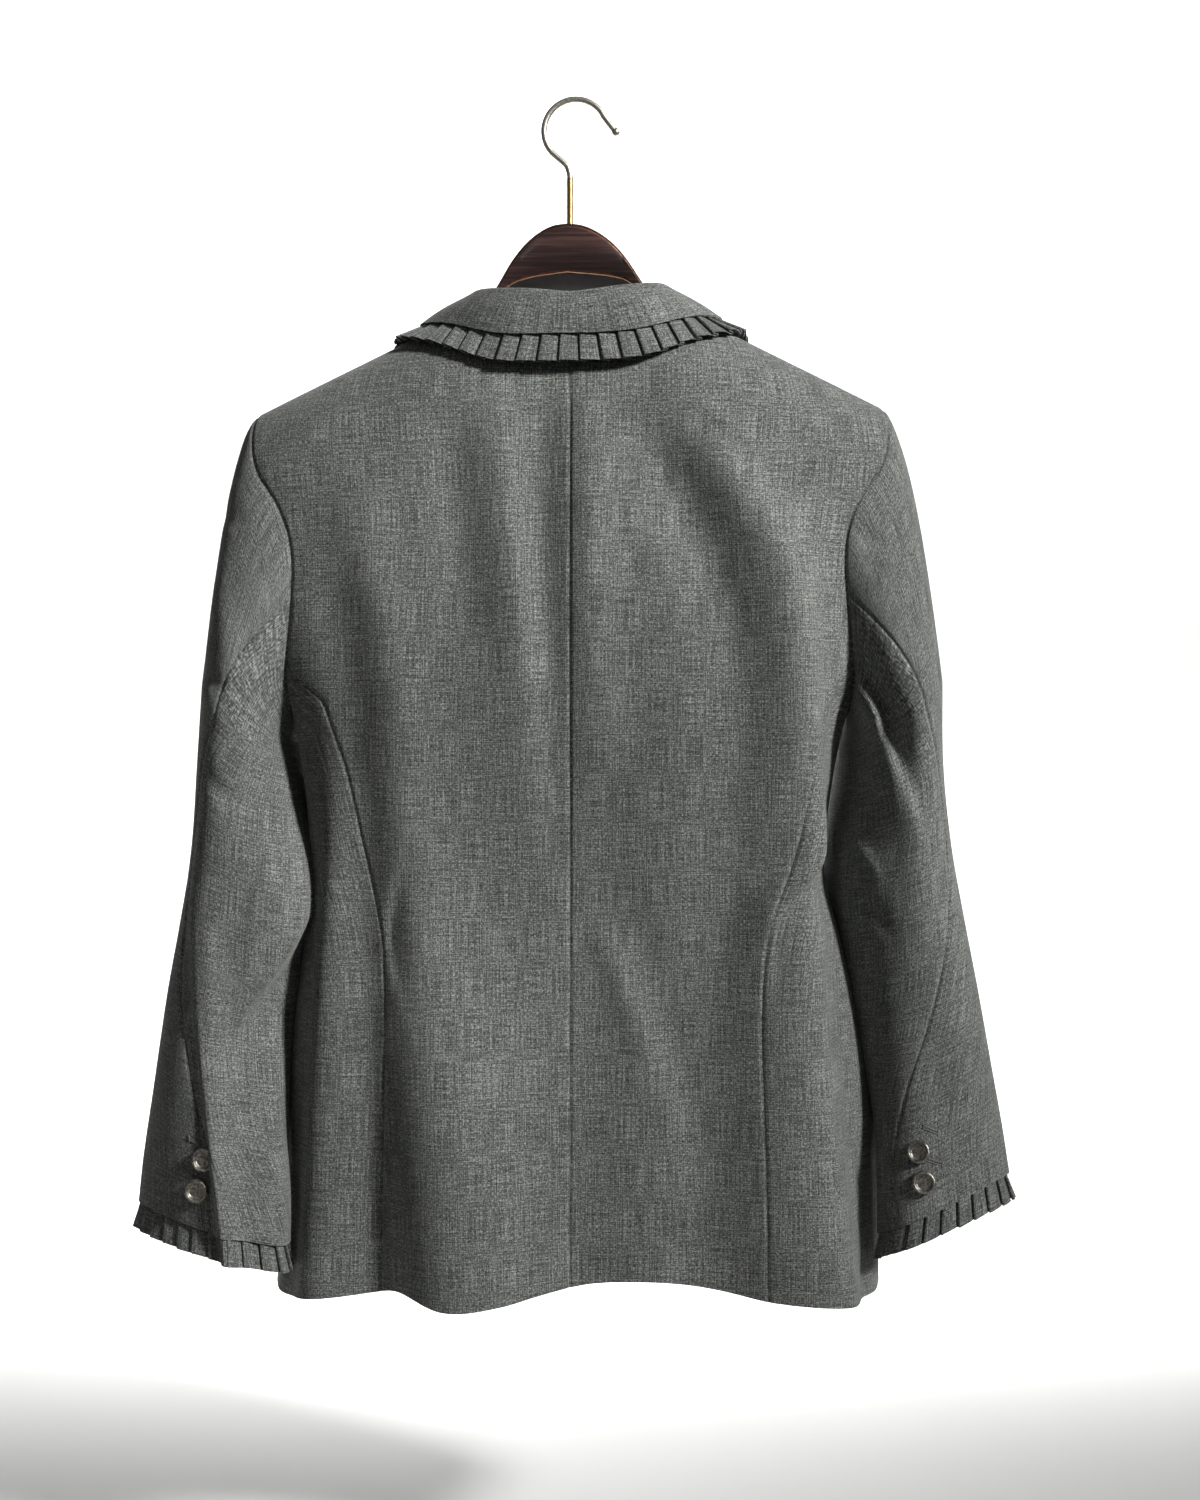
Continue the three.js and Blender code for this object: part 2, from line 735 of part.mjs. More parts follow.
// Turns of the armhole's corners, the same on the body's panels and on the sleeve
const BACK_TURNS = steps(ARMHOLE_STEPS, 0, BACK_SEAM_TURN);
const SIDE_TURNS = steps(SIDE_STEPS, BACK_SEAM_TURN, FRONT_SEAM_TURN).slice(1);
const FRONT_TURNS = steps(ARMHOLE_STEPS, FRONT_SEAM_TURN, 360).slice(1);
const HIND_START = BACK_TURNS[HIND_SEAM_STEPS];
const FORE_START = SIDE_TURNS[SIDE_STEPS - 2];
const UNDER_TURNS = [...BACK_TURNS.slice(HIND_SEAM_STEPS), ...SIDE_TURNS.slice(0, -1)];
const UPPER_TURNS = [
  ...[...SIDE_TURNS.slice(-2), ...FRONT_TURNS].map((turn) => turn - 360),
  ...BACK_TURNS.slice(1, HIND_SEAM_STEPS + 1),
];

// The turn of the hind arm or fore arm seam
function seamTurn(hand, down, column) {
  const rows = sleeveLevels[names[hand]];
  const start = column === "seam" ? HIND_START : FORE_START;
  const z = lerp(rows[0].z, rows[rows.length - 1].z, clamp(down - 1, 0, 1));
  return lerp(start, along(rows, "z", column, z), smooth(down));
}

function sleevePiece(hand, upper) {
  const turns = upper ? UPPER_TURNS : UNDER_TURNS;
  const first = turns[0];
  const shares = turns.map((turn) => (turn - first) / (turns[turns.length - 1] - first));
  const place = (u, down) => {
    const hind = seamTurn(hand, down, "seam");
    const fore = seamTurn(hand, down, "foreSeam");
    const turn = upper ? lerp(fore - 360, hind, u) : lerp(hind, fore, u);
    return { turn, point: sleevePoint(hand, down, turn) };
  };
  const spots = gridOf(shares, SLEEVE_ROWS, (u, down) => ({ ...place(u, down), down }));
  const grid = openSeams(spots.map((row) => row.map((s) => s.point)));
  // The cap starts a little outside the armhole edge of the body
  grid[0].forEach((p) => p.add(new THREE.Vector3(hand * 2 * SEAM_GAP, 0, 0)));
  const inside = grid.map((row, r) =>
    row.map((p, c) => {
      const { down, turn } = spots[r][c];
      return p.clone().addScaledVector(sleeveNormal(hand, down, turn, sleeveBase), -CLOTH_WALL);
    }),
  );
  return shell(grid, inside);
}

// Collar stand and fall, as one strip folded over round the neck
function station(at, column) {
  const last = collarStations.length - 1;
  const place = clamp(Math.abs(at), 0, 1) * last;
  const i = Math.min(last - 1, Math.floor(place));
  const t = place - i;
  const mirror = at < 0 ? -1 : 1;
  const p = new THREE.Vector3(
    ...[0, 1, 2].map((axis) => {
      const value = (k) => {
        const sign = k < 0 && axis === 0 ? -1 : 1;
        return sign * collarStations[clamp(Math.abs(k), 0, last)][column][axis];
      };
      const rows = [-1, 0, 1, 2].map((k) => ({ key: k, value: value(i + k) }));
      return (axis === 0 ? mirror : 1) * along(rows, "key", "value", t);
    }),
  );
  p.z += settle(p.x);
  return p;
}

function collar() {
  const across = (at) => {
    const foot = station(at, "foot");
    const fold = station(at, "fold");
    const edge = station(at, "edge");
    const up = fold.clone().sub(foot).normalize();
    const fall = edge.clone().sub(fold).normalize();
    const out = fall.clone().addScaledVector(up, -fall.dot(up)).normalize();
    const centre = fold.clone().addScaledVector(up, -COLLAR_ROLL).addScaledVector(out, COLLAR_ROLL);
    const turned = [0, 45, 90, 135].map((deg) =>
      centre
        .clone()
        .addScaledVector(out, -COLLAR_ROLL * Math.cos(radians(deg)))
        .addScaledVector(up, COLLAR_ROLL * Math.sin(radians(deg))),
    );
    const crown = turned[3];
    const bulge = out.clone().multiplyScalar(FALL_BULGE);
    return [
      foot,
      foot.clone().lerp(turned[0], 0.5),
      ...turned,
      crown.clone().lerp(edge, 0.33).add(bulge),
      crown.clone().lerp(edge, 0.68).add(bulge),
      edge,
    ];
  };
  const middle = steps(24, -1, 1).map(across);
  const half = COLLAR_WALL / 2;
  const side = (sign) =>
    middle.map((row, r) =>
      row.map((p, c) => {
        const along1 = middle[Math.min(middle.length - 1, r + 1)][c]
          .clone()
          .sub(middle[Math.max(0, r - 1)][c]);
        const along2 = row[Math.min(row.length - 1, c + 1)].clone().sub(row[Math.max(0, c - 1)]);
        const normal = along1.cross(along2).normalize();
        return p.clone().addScaledVector(normal, sign * half);
      }),
    );
  return shell(side(1), side(-1));
}

// One knife pleat after another: distance along the edge, and depth under the face
function pleatChain(count, pitch) {
  const deep = (2 * PLEAT_LAYER * (pitch + PLEAT_RETURN)) / pitch;
  const fall = deep / (pitch + PLEAT_RETURN);
  const round = PLEAT_LAYER / 2;
  const chain = [[0, deep * 0.55]];
  for (let k = 1; k <= count; k++) {
    const end = k * pitch;
    const back = end - PLEAT_RETURN;
    chain.push([end - round, 0]);
    if (k === count) break;
    chain.push([end, round]);
    chain.push([end - round, PLEAT_LAYER]);
    chain.push([back, PLEAT_LAYER + fall * PLEAT_RETURN]);
    chain.push([back - round, PLEAT_LAYER * 1.5 + fall * PLEAT_RETURN]);
    chain.push([back, deep]);
  }
  return chain;
}

// A pleated strip below an edge. place gives, for a share of the length and a share of the
// width, the point on the strip's face and the way out of it.
function pleatedStrip(length, width, place) {
  const count = Math.round(length / width);
  const pitch = length / count;
  const chain = pleatChain(count, pitch);
  const half = TRIM_WALL / 2;
  const side = (sign) =>
    [0, 1].map((down) =>
      chain.map(([run, depth], i) => {
        const a = chain[Math.max(0, i - 1)];
        const b = chain[Math.min(chain.length - 1, i + 1)];
        const size = Math.hypot(b[0] - a[0], b[1] - a[1]);
        const nx = (b[1] - a[1]) / size;
        const ny = (b[0] - a[0]) / size;
        const across = (run + sign * half * nx) / length;
        const deep = depth + half - sign * half * ny;
        const spot = place(clamp(across, 0, 1), down);
        return spot.point.clone().addScaledVector(spot.out, -deep);
      }),
    );
  return shell(side(1), side(-1));
}

function collarTrim() {
  const samples = steps(120, -1, 1);
  const edges = samples.map((at) => station(at, "edge"));
  const hems = samples.map((at) => station(at, "trim"));
  const run = [0];
  for (let i = 1; i < edges.length; i++) {
    const step = (edges[i].distanceTo(edges[i - 1]) + hems[i].distanceTo(hems[i - 1])) / 2;
    run.push(run[i - 1] + step);
  }
  const length = run[run.length - 1];
  const place = (share, width) => {
    const at = share * length;
    let i = 1;
    while (i < run.length - 1 && run[i] < at) i++;
    const t = (at - run[i - 1]) / (run[i] - run[i - 1]);
    const edge = edges[i - 1].clone().lerp(edges[i], t);
    const hem = hems[i - 1].clone().lerp(hems[i], t);
    const way = edges[i].clone().sub(edges[i - 1]);
    const down = hem.clone().sub(edge).normalize();
    const out = down.clone().cross(way).normalize();
    const start = edge.clone().addScaledVector(down, COLLAR_TRIM_START);
    return { point: start.lerp(hem, width).addScaledVector(out, COLLAR_TRIM_OUT), out };
  };
  return pleatedStrip(length, COLLAR_PLEAT, place);
}

function cuffTrim(hand) {
  const vent = seamTurn(hand, 2, "seam");
  const count = 90;
  const spots = steps(count, vent + VENT_GAP_TURN, vent + 360 - VENT_GAP_TURN).map((turn) => {
    const edge = sleeveBase(hand, 2, turn);
    const down = edge.clone().sub(sleeveBase(hand, 1.9, turn)).normalize();
    const out = sleeveNormal(hand, 1.99, turn, sleeveBase);
    return { edge, down, out };
  });
  const run = [0];
  for (let i = 1; i <= count; i++) {
    run.push(run[i - 1] + spots[i].edge.distanceTo(spots[i - 1].edge));
  }
  const length = run[count];
  const place = (share, width) => {
    const at = share * length;
    let i = 1;
    while (i < count && run[i] < at) i++;
    const t = (at - run[i - 1]) / (run[i] - run[i - 1]);
    const edge = spots[i - 1].edge.clone().lerp(spots[i].edge, t);
    const down = spots[i - 1].down.clone().lerp(spots[i].down, t).normalize();
    const out = spots[i - 1].out.clone().lerp(spots[i].out, t).normalize();
    return {
      point: edge
        .addScaledVector(down, lerp(CUFF_TRIM_START, CUFF_TRIM, width))
        .addScaledVector(out, lerp(CUFF_TRIM_OUT, CUFF_TRIM_FLARE, width)),
      out,
    };
  };
  return pleatedStrip(length, CUFF_PLEAT, place);
}

// A shank-less metal button: a rounded rim round a sunken middle
function button(radius) {
  const profile = [
    [0, 0],
    [radius * 0.8, 0],
    [radius, BUTTON_HEIGHT * 0.45],
    [radius * 0.94, BUTTON_HEIGHT * 0.85],
    [radius * 0.8, BUTTON_HEIGHT],
    [radius * 0.66, BUTTON_HEIGHT * 0.86],
    [radius * 0.58, BUTTON_HEIGHT * 0.6],
    [0, BUTTON_HEIGHT * 0.68],
  ].map(([r, h]) => new THREE.Vector2(r, h));
  return new THREE.LatheGeometry(profile, 18).rotateX(Math.PI / 2);
}

function placeOn(mesh, point, normal) {
  mesh.quaternion.setFromUnitVectors(new THREE.Vector3(0, 0, 1), normal);
  mesh.position.copy(point).addScaledVector(normal, LYING_GAP);
  return mesh;
}

function hangerBody() {
  // The arms follow the shoulders, and the arch between them stands a little to the left
  const half = (hand) => {
    const arm = (x) => shoulderHeight(hand * x) - HANGER_UNDER_CLOTH;
    const shift = (x) => ARCH_SHIFT * (1 - smooth(x / ARCH_SHIFT_WITHIN));
    const own = ({ x, z }) => [hand * x + shift(x), z + settle(hand * x)];
    return [
      ...hangerTop.map(own),
      ...steps(6, HANGER_ARM_FROM, HANGER_ARM_TO).map((x) => [hand * x, arm(x)]),
      [hand * (HANGER_ARM_TO + 5), arm(HANGER_ARM_TO) - 6],
      [hand * (HANGER_ARM_TO + 3), arm(HANGER_ARM_TO) - 15],
      ...hangerBottom.map(own),
    ];
  };
  const outline = [...half(1), ...half(-1).slice(1, -1).reverse()].map(
    ([x, z]) => new THREE.Vector2(x, z),
  );
  const geometry = new THREE.ExtrudeGeometry(new THREE.Shape(outline), {
    depth: 2 * (HANGER_HALF_THICKNESS - HANGER_ROUND),
    bevelThickness: HANGER_ROUND,
    bevelSize: HANGER_ROUND,
    bevelOffset: -HANGER_ROUND,
    bevelSegments: 2,
  });
  return geometry
    .translate(0, 0, HANGER_ROUND - HANGER_HALF_THICKNESS)
    .rotateX(Math.PI / 2);
}

function toSolid(geometry) {
  const bare = geometry.clone();
  bare.deleteAttribute("normal");
  bare.deleteAttribute("uv");
  const merged = mergeVertices(bare, 1e-4);
  const triVerts = merged.index
    ? new Uint32Array(merged.index.array)
    : Uint32Array.from(merged.attributes.position.count, (_, i) => i);
  return new wasm.Manifold(
    new wasm.Mesh({ numProp: 3, vertProperties: merged.attributes.position.array, triVerts }),
  );
}

function fromSolid(solid) {
  const mesh = solid.getMesh();
  const geometry = new THREE.BufferGeometry();
  geometry.setAttribute("position", new THREE.BufferAttribute(mesh.vertProperties, 3));
  geometry.setIndex(new THREE.BufferAttribute(mesh.triVerts, 1));
  geometry.computeVertexNormals();
  return geometry;
}

// The hook: a straight shaft, a small swan neck, an open round and a ball on its tip
function hook() {
  const centre = new THREE.Vector3(HOOK_CENTRE_X, 0, HOOK_WIRE - HOOK_RADIUS);
  const onRound = (turn) =>
    centre
      .clone()
      .add(
        new THREE.Vector3(Math.cos(radians(turn)), 0, Math.sin(radians(turn))).multiplyScalar(
          HOOK_RADIUS,
        ),
      );
  const tip = new THREE.Vector3(HOOK_TIP_X, 0, centre.z - 0.4);
  const points = [
    new THREE.Vector3(HOOK_SHAFT_X, 0, ARCH_TOP + SEAM_GAP),
    new THREE.Vector3(HOOK_SHAFT_X, 0, -66),
    new THREE.Vector3(HOOK_SHAFT_X, 0, -51),
    new THREE.Vector3(HOOK_NECK_X, 0, -42.5),
    ...steps(11, HOOK_JOIN_TURN, HOOK_TIP_TURN).map(onRound),
    tip,
  ];
  const path = new THREE.CatmullRomCurve3(points);
  const section = new THREE.Shape().absarc(0, 0, HOOK_WIRE, 0, 2 * Math.PI);
  const wire = new THREE.ExtrudeGeometry(section, {
    steps: 38,
    curveSegments: 5,
    extrudePath: path,
  });
  const ball = new THREE.SphereGeometry(HOOK_BALL, 12, 8).translate(tip.x, tip.y, tip.z);
  return fromSolid(toSolid(wire).add(toSolid(ball)));
}

// Materials
const cloth = new THREE.MeshStandardMaterial({ color: 0x5f625f, roughness: 0.9, metalness: 0 });
const trimCloth = new THREE.MeshStandardMaterial({ color: 0x595c59, roughness: 0.9, metalness: 0 });
const wood = new THREE.MeshStandardMaterial({ color: 0x3a2320, roughness: 0.35, metalness: 0 });
const nickel = new THREE.MeshStandardMaterial({ color: 0xa39b8b, roughness: 0.3, metalness: 1 });
const darkMetal = new THREE.MeshStandardMaterial({ color: 0x77777a, roughness: 0.3, metalness: 1 });

const blazer = new THREE.Group();

function add(name, geometry, material) {
  const mesh = new THREE.Mesh(geometry, material);
  mesh.name = name;
  blazer.add(mesh);
  return mesh;
}

// Cuff buttons, by share of the way down the sleeve and turn on it
const cuffButtons = table(
  ["hand", "name", "down", "turn"],
  [
    [-1, "upper", 1.84, 86],
    [-1, "lower", 1.905, 82],
    [1, "upper", 1.85, 116],
    [1, "lower", 1.915, 108],
  ],
);

for (const hand of [-1, 1]) {
  const side = names[hand];
  add(`back_${side}`, backPanel(hand), cloth);
  add(`side_${side}`, sidePanel(hand), cloth);
  add(`front_${side}`, frontPanel(hand), cloth);
  add(`lapel_${side}`, lapel(hand), cloth);
  add(`sleeve_upper_${side}`, sleevePiece(hand, true), cloth);
  add(`sleeve_under_${side}`, sleevePiece(hand, false), cloth);
  add(`cuff_trim_${side}`, cuffTrim(hand), trimCloth);
}
add("collar", collar(), cloth);
add("collar_trim", collarTrim(), trimCloth);

for (const b of cuffButtons) {
  const mesh = add(`cuff_button_${names[b.hand]}_${b.name}`, button(CUFF_BUTTON_RADIUS), darkMetal);
  const normal = sleeveNormal(b.hand, b.down, b.turn, sleevePoint);
  placeOn(mesh, sleevePoint(b.hand, b.down, b.turn), normal);
}
FRONT_BUTTON_HEIGHTS.forEach((z, i) => {
  const mesh = add(`front_button_${i + 1}`, button(FRONT_BUTTON_RADIUS), darkMetal);
  const point = new THREE.Vector3(0, bodyY(0, z, 1), z);
  placeOn(mesh, point, bodyNormal(point, 1));
});

add("hanger_body", hangerBody(), wood);
add("hanger_hook", hook(), nickel);

export default blazer;
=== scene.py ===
import math

import bmesh
import bpy
import numpy as np
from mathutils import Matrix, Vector


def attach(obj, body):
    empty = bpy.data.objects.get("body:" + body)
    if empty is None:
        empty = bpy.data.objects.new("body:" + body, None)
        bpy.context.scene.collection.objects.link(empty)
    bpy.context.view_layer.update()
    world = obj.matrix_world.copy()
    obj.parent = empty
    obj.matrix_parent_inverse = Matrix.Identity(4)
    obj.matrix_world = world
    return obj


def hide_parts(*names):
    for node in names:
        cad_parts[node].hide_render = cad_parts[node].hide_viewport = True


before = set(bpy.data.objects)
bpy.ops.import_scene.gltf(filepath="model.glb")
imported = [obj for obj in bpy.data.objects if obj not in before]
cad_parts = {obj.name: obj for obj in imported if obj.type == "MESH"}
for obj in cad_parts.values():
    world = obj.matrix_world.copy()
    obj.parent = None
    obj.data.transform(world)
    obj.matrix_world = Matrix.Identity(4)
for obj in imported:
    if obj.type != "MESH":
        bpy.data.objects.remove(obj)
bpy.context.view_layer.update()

MM = 0.001
FINE = 1.0

# Cloth and seams
CLOTH_WALL = 1.3
LAPEL_WALL = 1.2
COLLAR_WALL = 1.3
TRIM_WALL = 0.7
SEAM_GAP = 0.03
SEAM_ROLL = 0.9
SEAM_ROLL_WIDTH = 1.4
SLEEVE_TUCK = 2.5
LAPEL_GAP = 0.8

# Body
SHOULDER_PEAK = -103
SHOULDER_SLOPE = 0.495
SHOULDER_ROUND = 55
SHOULDER_TIP = 208
LEFT_DROP = 4.5
LEFT_DROP_WITHIN = 70
NECK_HALF = 72
BACK_NECK = -164
NECK_BEND = 2.2
ARMHOLE_MIDDLE = -309
ARMHOLE_HALF_HEIGHT = 103
ARMHOLE_BACK = 53
ARMHOLE_FRONT = 46
BACK_SEAM_TURN = 126
FRONT_SEAM_TURN = 238
HIND_START = 103.1
FORE_START = 226.8
FRONT_HEM = -790
SEAM_FOOT = -790
SEAM_TOP = -366
SEAM_BEND = 30
SIDE_HEM_X = 175
HIGHEST = -100
LOWEST = -800
OVERLAP = 14
BREAK_HEIGHT = -430
CROSSING_HEIGHT = -386
GORGE_INNER = -203
GORGE_OUTER = -252
UNDER_FRONT_INSET = 2.6
UNDER_FRONT_FROM = 85
UNDER_FRONT_TO = 22

# Collar and trims
COLLAR_ROLL = 2.4
COLLAR_BEND = 135
FOLD_DIP = 1.3
FOLD_DIP_WIDTH = 13
FALL_BULGE = 1.5
COLLAR_PLEAT = 13
CUFF_PLEAT = 12
PLEAT_RETURN = 4
PLEAT_LAYER = 1.6
COLLAR_TRIM_START = -1.5
COLLAR_TRIM_TUCK = -0.9
COLLAR_TRIM_OUT = 1.6
CUFF_TRIM = 16.8
CUFF_TRIM_START = -1.5
CUFF_TRIM_TUCK = -1.4
CUFF_TRIM_FLARE = 2.5
VENT_GAP_TURN = -3
PLEAT_SWING = 0.35
NAMES = {-1: "left", 1: "right"}

# Relief of the creases, and how the lower front stands out beside the sleeves
RELIEF_UPPER = 1.65
RELIEF_LOWER = 1.1
RELIEF_FROM = -640
RELIEF_WITHIN = 110
SLEEVE_RELIEF = 1.5
CREASE_WAY = np.array([0.12, 1, 0.12])
SIDE_FLARE = 25
SIDE_FLARE_AT = 32
SIDE_FLARE_WIDTH = 22
SIDE_FLARE_FROM = -560
SIDE_FLARE_TO = -775
SIDE_FLARE_HEM = 0.5
SIDE_FLARE_FADE = 90
SIDE_FLARE_HEM_FADE = 60
SIDE_FLARE_SHARE = 0.5
SIDE_FLARE_SHARE_FADE = 0.35
FLAT_AT_SIDE = 24
FLAT_AT_SHOULDER = 12
SHOULDER_FADE = 50
ARMHOLE_FADE = 0.1
LAPEL_OFF_EDGE = 0.2
LAPEL_BULGE = 1.2
LAPEL_FADE = 60

# Sleeves
CAP_EASE = 0.48
CAP_EASE_WAVES = 9
CAP_EASE_AT = 0.12
CAP_EASE_WIDTH = 0.1
FACING_GAIN = 1.6
FACING_START = 0.15
HIND_SEAM_DELAY = 1.35
SLEEVE_SINK = 0.8

# Mesh: rows and columns of the panels, and the share of a side seam below the armhole
BACK_ROWS = 228
BACK_COLUMNS = 100
FRONT_ROWS = 190
FRONT_COLUMNS = 84
SIDE_ROWS = 160
SIDE_COLUMNS = 90
SLEEVE_ROWS = 236
UPPER_COLUMNS = 120
UNDER_COLUMNS = 76
LAPEL_ROWS = 80
LAPEL_COLUMNS = 40
COLLAR_COLUMNS = 160
COLLAR_STAND_ROWS = 8
COLLAR_BEND_ROWS = 10
COLLAR_FALL_ROWS = 22
COLLAR_TRIM_POINTS = 241
CUFF_TRIM_POINTS = 181
TRIM_ROWS = 7
HANGER_COLUMNS = 300
ARCH_COLUMNS = 160
HOOK_RINGS = 260
HEM_EDGE = 0.007
SIDE_HEM_EDGE = 0.01
SEAM_SHARE = 0.6

# Buttons and buttonholes: places on the sleeves are hand, way down and turn
CUFF_BUTTON_RADIUS = 7.6
FRONT_BUTTON_RADIUS = 9
BUTTON_HEIGHT = 4.2
BUTTON_LIFT = 0.4
FRONT_BUTTON_HEIGHTS = (-456, -542, -628)
CUFF_BUTTONS = [
    (-1, "upper", 1.86, 86),
    (-1, "lower", 1.925, 78),
    (1, "upper", 1.858, 111),
    (1, "lower", 1.925, 102),
]
# A hole also has its lean down the sleeve and the turn that it spans
CUFF_HOLES = [
    (-1, 1.832, 79, 0.006, 9),
    (-1, 1.898, 70, 0.006, 9),
    (1, 1.822, 104, -0.028, 17),
    (1, 1.892, 95, -0.028, 17),
]
THREAD = 0.35
HOLE_STITCHES = 18
HOLE_SIDE = 0.0028
HOLE_STITCH = 0.0034
HOLE_BAR = 0.006

# Hanger and hook
HANGER_END = 195
HANGER_END_ROUND = 9
HANGER_UNDER_CLOTH = 3.9
HANGER_HALF_THICKNESS = 7
HANGER_DEEP = 23
HANGER_DEEP_FROM = 35
HANGER_DEEP_TO = 75
HANGER_SAG = 7
HANGER_SAG_TO = 30
HANGER_RIM = 2.3
HANGER_LINE = 1.1
# Strips of the hanger's section on its near top and bottom bevels, which take the painted highlight
BEVEL_HIGHLIGHT_STRIPS = (0, 15, 16)
# Strips of the hanger's section round its underside, which take the darker wood of painted shade
UNDERSIDE_SHADE_STRIPS = (11, 12, 13, 14)
ARCH_SHIFT = -2.5
ARCH_SHIFT_WITHIN = 90
ARCH_TOP = -82
ARCH_END = 67
ARCH_FADE = 13
HOOK_WIRE = 2
HOOK_RADIUS = 21.4
HOOK_CENTRE_X = 3.3
HOOK_JOIN_TURN = 235
HOOK_TIP_TURN = 24
HOOK_BALL = 2.7
HOOK_SHAFT_X = -0.7
HOOK_NECK_X = -2.9
HOOK_NECK_Z = -42.5
HOOK_RIDGE = 0.012
HOOK_RIDGES = 130
HOOK_TIP_X = 30
SHAFT_TOP = -51

# Weave: cells of each noise in a metre across and down, its detail and its weight; and where
# on the cloth the pieces are cut, in millimetres, so that no two show the same threads
PITCH = 0.00056
WEAVE = [
    (1 / PITCH, 0.28 / PITCH, 0.5, 0.34),
    (0.28 / PITCH, 1 / PITCH, 0.5, 0.36),
    (1.2 / PITCH, 1.2 / PITCH, 0.5, 0.14),
    (0.75 / PITCH, 1 / 0.03, 1.0, 0.30),
    (1 / 0.02, 0.75 / PITCH, 1.0, 0.29),
    (14, 6, 2.0, 0.09),
]
WEAVE_SCALE = 0.658
GRAIN_FROM = 900
GRAIN_STEP = 7
GRAIN_HAND = 311
WEAVE_RAMP = (0.385, 0.50, 0.615)

# Colours: dark and light, with a middle one for cloth and wood; then roughness and noise
# scales for metal
WOOL = ((0.012, 0.013, 0.012), (0.082, 0.086, 0.081), (0.29, 0.30, 0.275))
TRIM_WOOL = ((0.012, 0.013, 0.012), (0.074, 0.078, 0.074), (0.27, 0.28, 0.26))
WOOD_DARK = (0.006, 0.003, 0.0025)
WOOD_MIDDLE = (0.022, 0.010, 0.009)
WOOD_LIGHT = (0.060, 0.028, 0.023)
# Darker, matte wood for the underside of the hanger: painted shade, because the underside faces down
# and away from the light
UNDERSIDE_SHADE_WOOD = ((0.008, 0.005, 0.004), (0.018, 0.011, 0.009))
# Light copper-coloured metal for thin lines along the near bevels of the hanger: painted highlight,
# where the lacquered bevels catch the light
BEVEL_HIGHLIGHT = ((0.10, 0.045, 0.025), (0.26, 0.12, 0.07), 0.42, (60, 60, 500))
NICKEL = ((0.30, 0.275, 0.23), (0.66, 0.62, 0.54), 0.42, (900, 900, 1800))
BRASS = ((0.26, 0.17, 0.07), (0.55, 0.40, 0.19), 0.3, (900, 900, 1800))
GUNMETAL = ((0.10, 0.095, 0.082), (0.46, 0.435, 0.385), 0.46, (700, 700, 700))
HOLE_THREAD = ((0.06, 0.06, 0.055), (0.2, 0.2, 0.19))
PALE = ((0.80, 0.80, 0.79), (0.84, 0.84, 0.83))

# Stage, lights and camera, in metres. A light has the point that it looks at, its turn to the
# right, its rise, its distance, its radius, its cone, the blend of its edge, and its power.
FLOOR = -1.0
WALL_AT = 1.5
SWEEP = 0.7
STAGE_WIDE = 5.0
STAGE_NEAR = -3.0
STAGE_HIGH = 3.2
LIT_MIDDLE = (-0.02, 0, -0.32)
SPOT_CONE = 19
LIGHTS = [
    ("key", LIT_MIDDLE, 53, 27, 5.0, 0.4, SPOT_CONE, 1.0, 2080),
    ("fill", LIT_MIDDLE, -20, 25, 5.0, 1.2, SPOT_CONE, 1.0, 90),
    ("wall", (-0.5, 1.45, -0.1), 0, 66, 2.2, 0.3, 62, 0.6, 420),
    ("wall", (0.5, 1.45, -0.1), 0, 66, 2.2, 0.3, 62, 0.6, 420),
]
WORLD_LIGHT = 0.10
CAMERA_AT = (0.0194, -1.36, -0.4336)
LENS = 48.75
SENSOR = 36


def points_of(text):
    """Rows of numbers that commas part."""
    return np.array([row.split() for row in text.split(",")], float)


def table(text):
    """Columns by the names in the first line, sorted by the first column."""
    names, *rows = text.strip().splitlines()
    values = np.array([row.split() for row in rows], float)
    if values[0, 0] > values[-1, 0]:
        values = values[::-1]
    return dict(zip(names.split(), values.T))


def lerp(a, b, t):
    return a + (b - a) * t


def smooth(t):
    s = np.clip(t, 0, 1)
    return s * s * (3 - 2 * s)


def cubic(t, start, start_way, end, end_way):
    """A curve from start to end that leaves and arrives in the given ways."""
    return (
        (2 * t**3 - 3 * t**2 + 1) * start
        + (t**3 - 2 * t**2 + t) * start_way
        + (3 * t**2 - 2 * t**3) * end
        + (t**3 - t**2) * end_way
    )


def hermite(keys, values, at):
    """Smooth curve through the values, flat beyond the ends."""
    slopes = np.empty_like(values)
    slopes[1:-1] = ((values[2:] - values[:-2]).T / (keys[2:] - keys[:-2])).T
    slopes[0] = (values[1] - values[0]) / (keys[1] - keys[0])
    slopes[-1] = (values[-1] - values[-2]) / (keys[-1] - keys[-2])
    i = np.clip(np.searchsorted(keys, at, side="right") - 1, 0, len(keys) - 2)
    gap = keys[i + 1] - keys[i]
    t = np.clip((at - keys[i]) / gap, 0, 1)
    if values.ndim == 2:
        t = t[..., None]
        gap = gap[..., None]
    return cubic(t, values[i], gap * slopes[i], values[i + 1], gap * slopes[i + 1])


def along(rows, column, at):
    return hermite(rows[next(iter(rows))], rows[column], np.asarray(at, float))


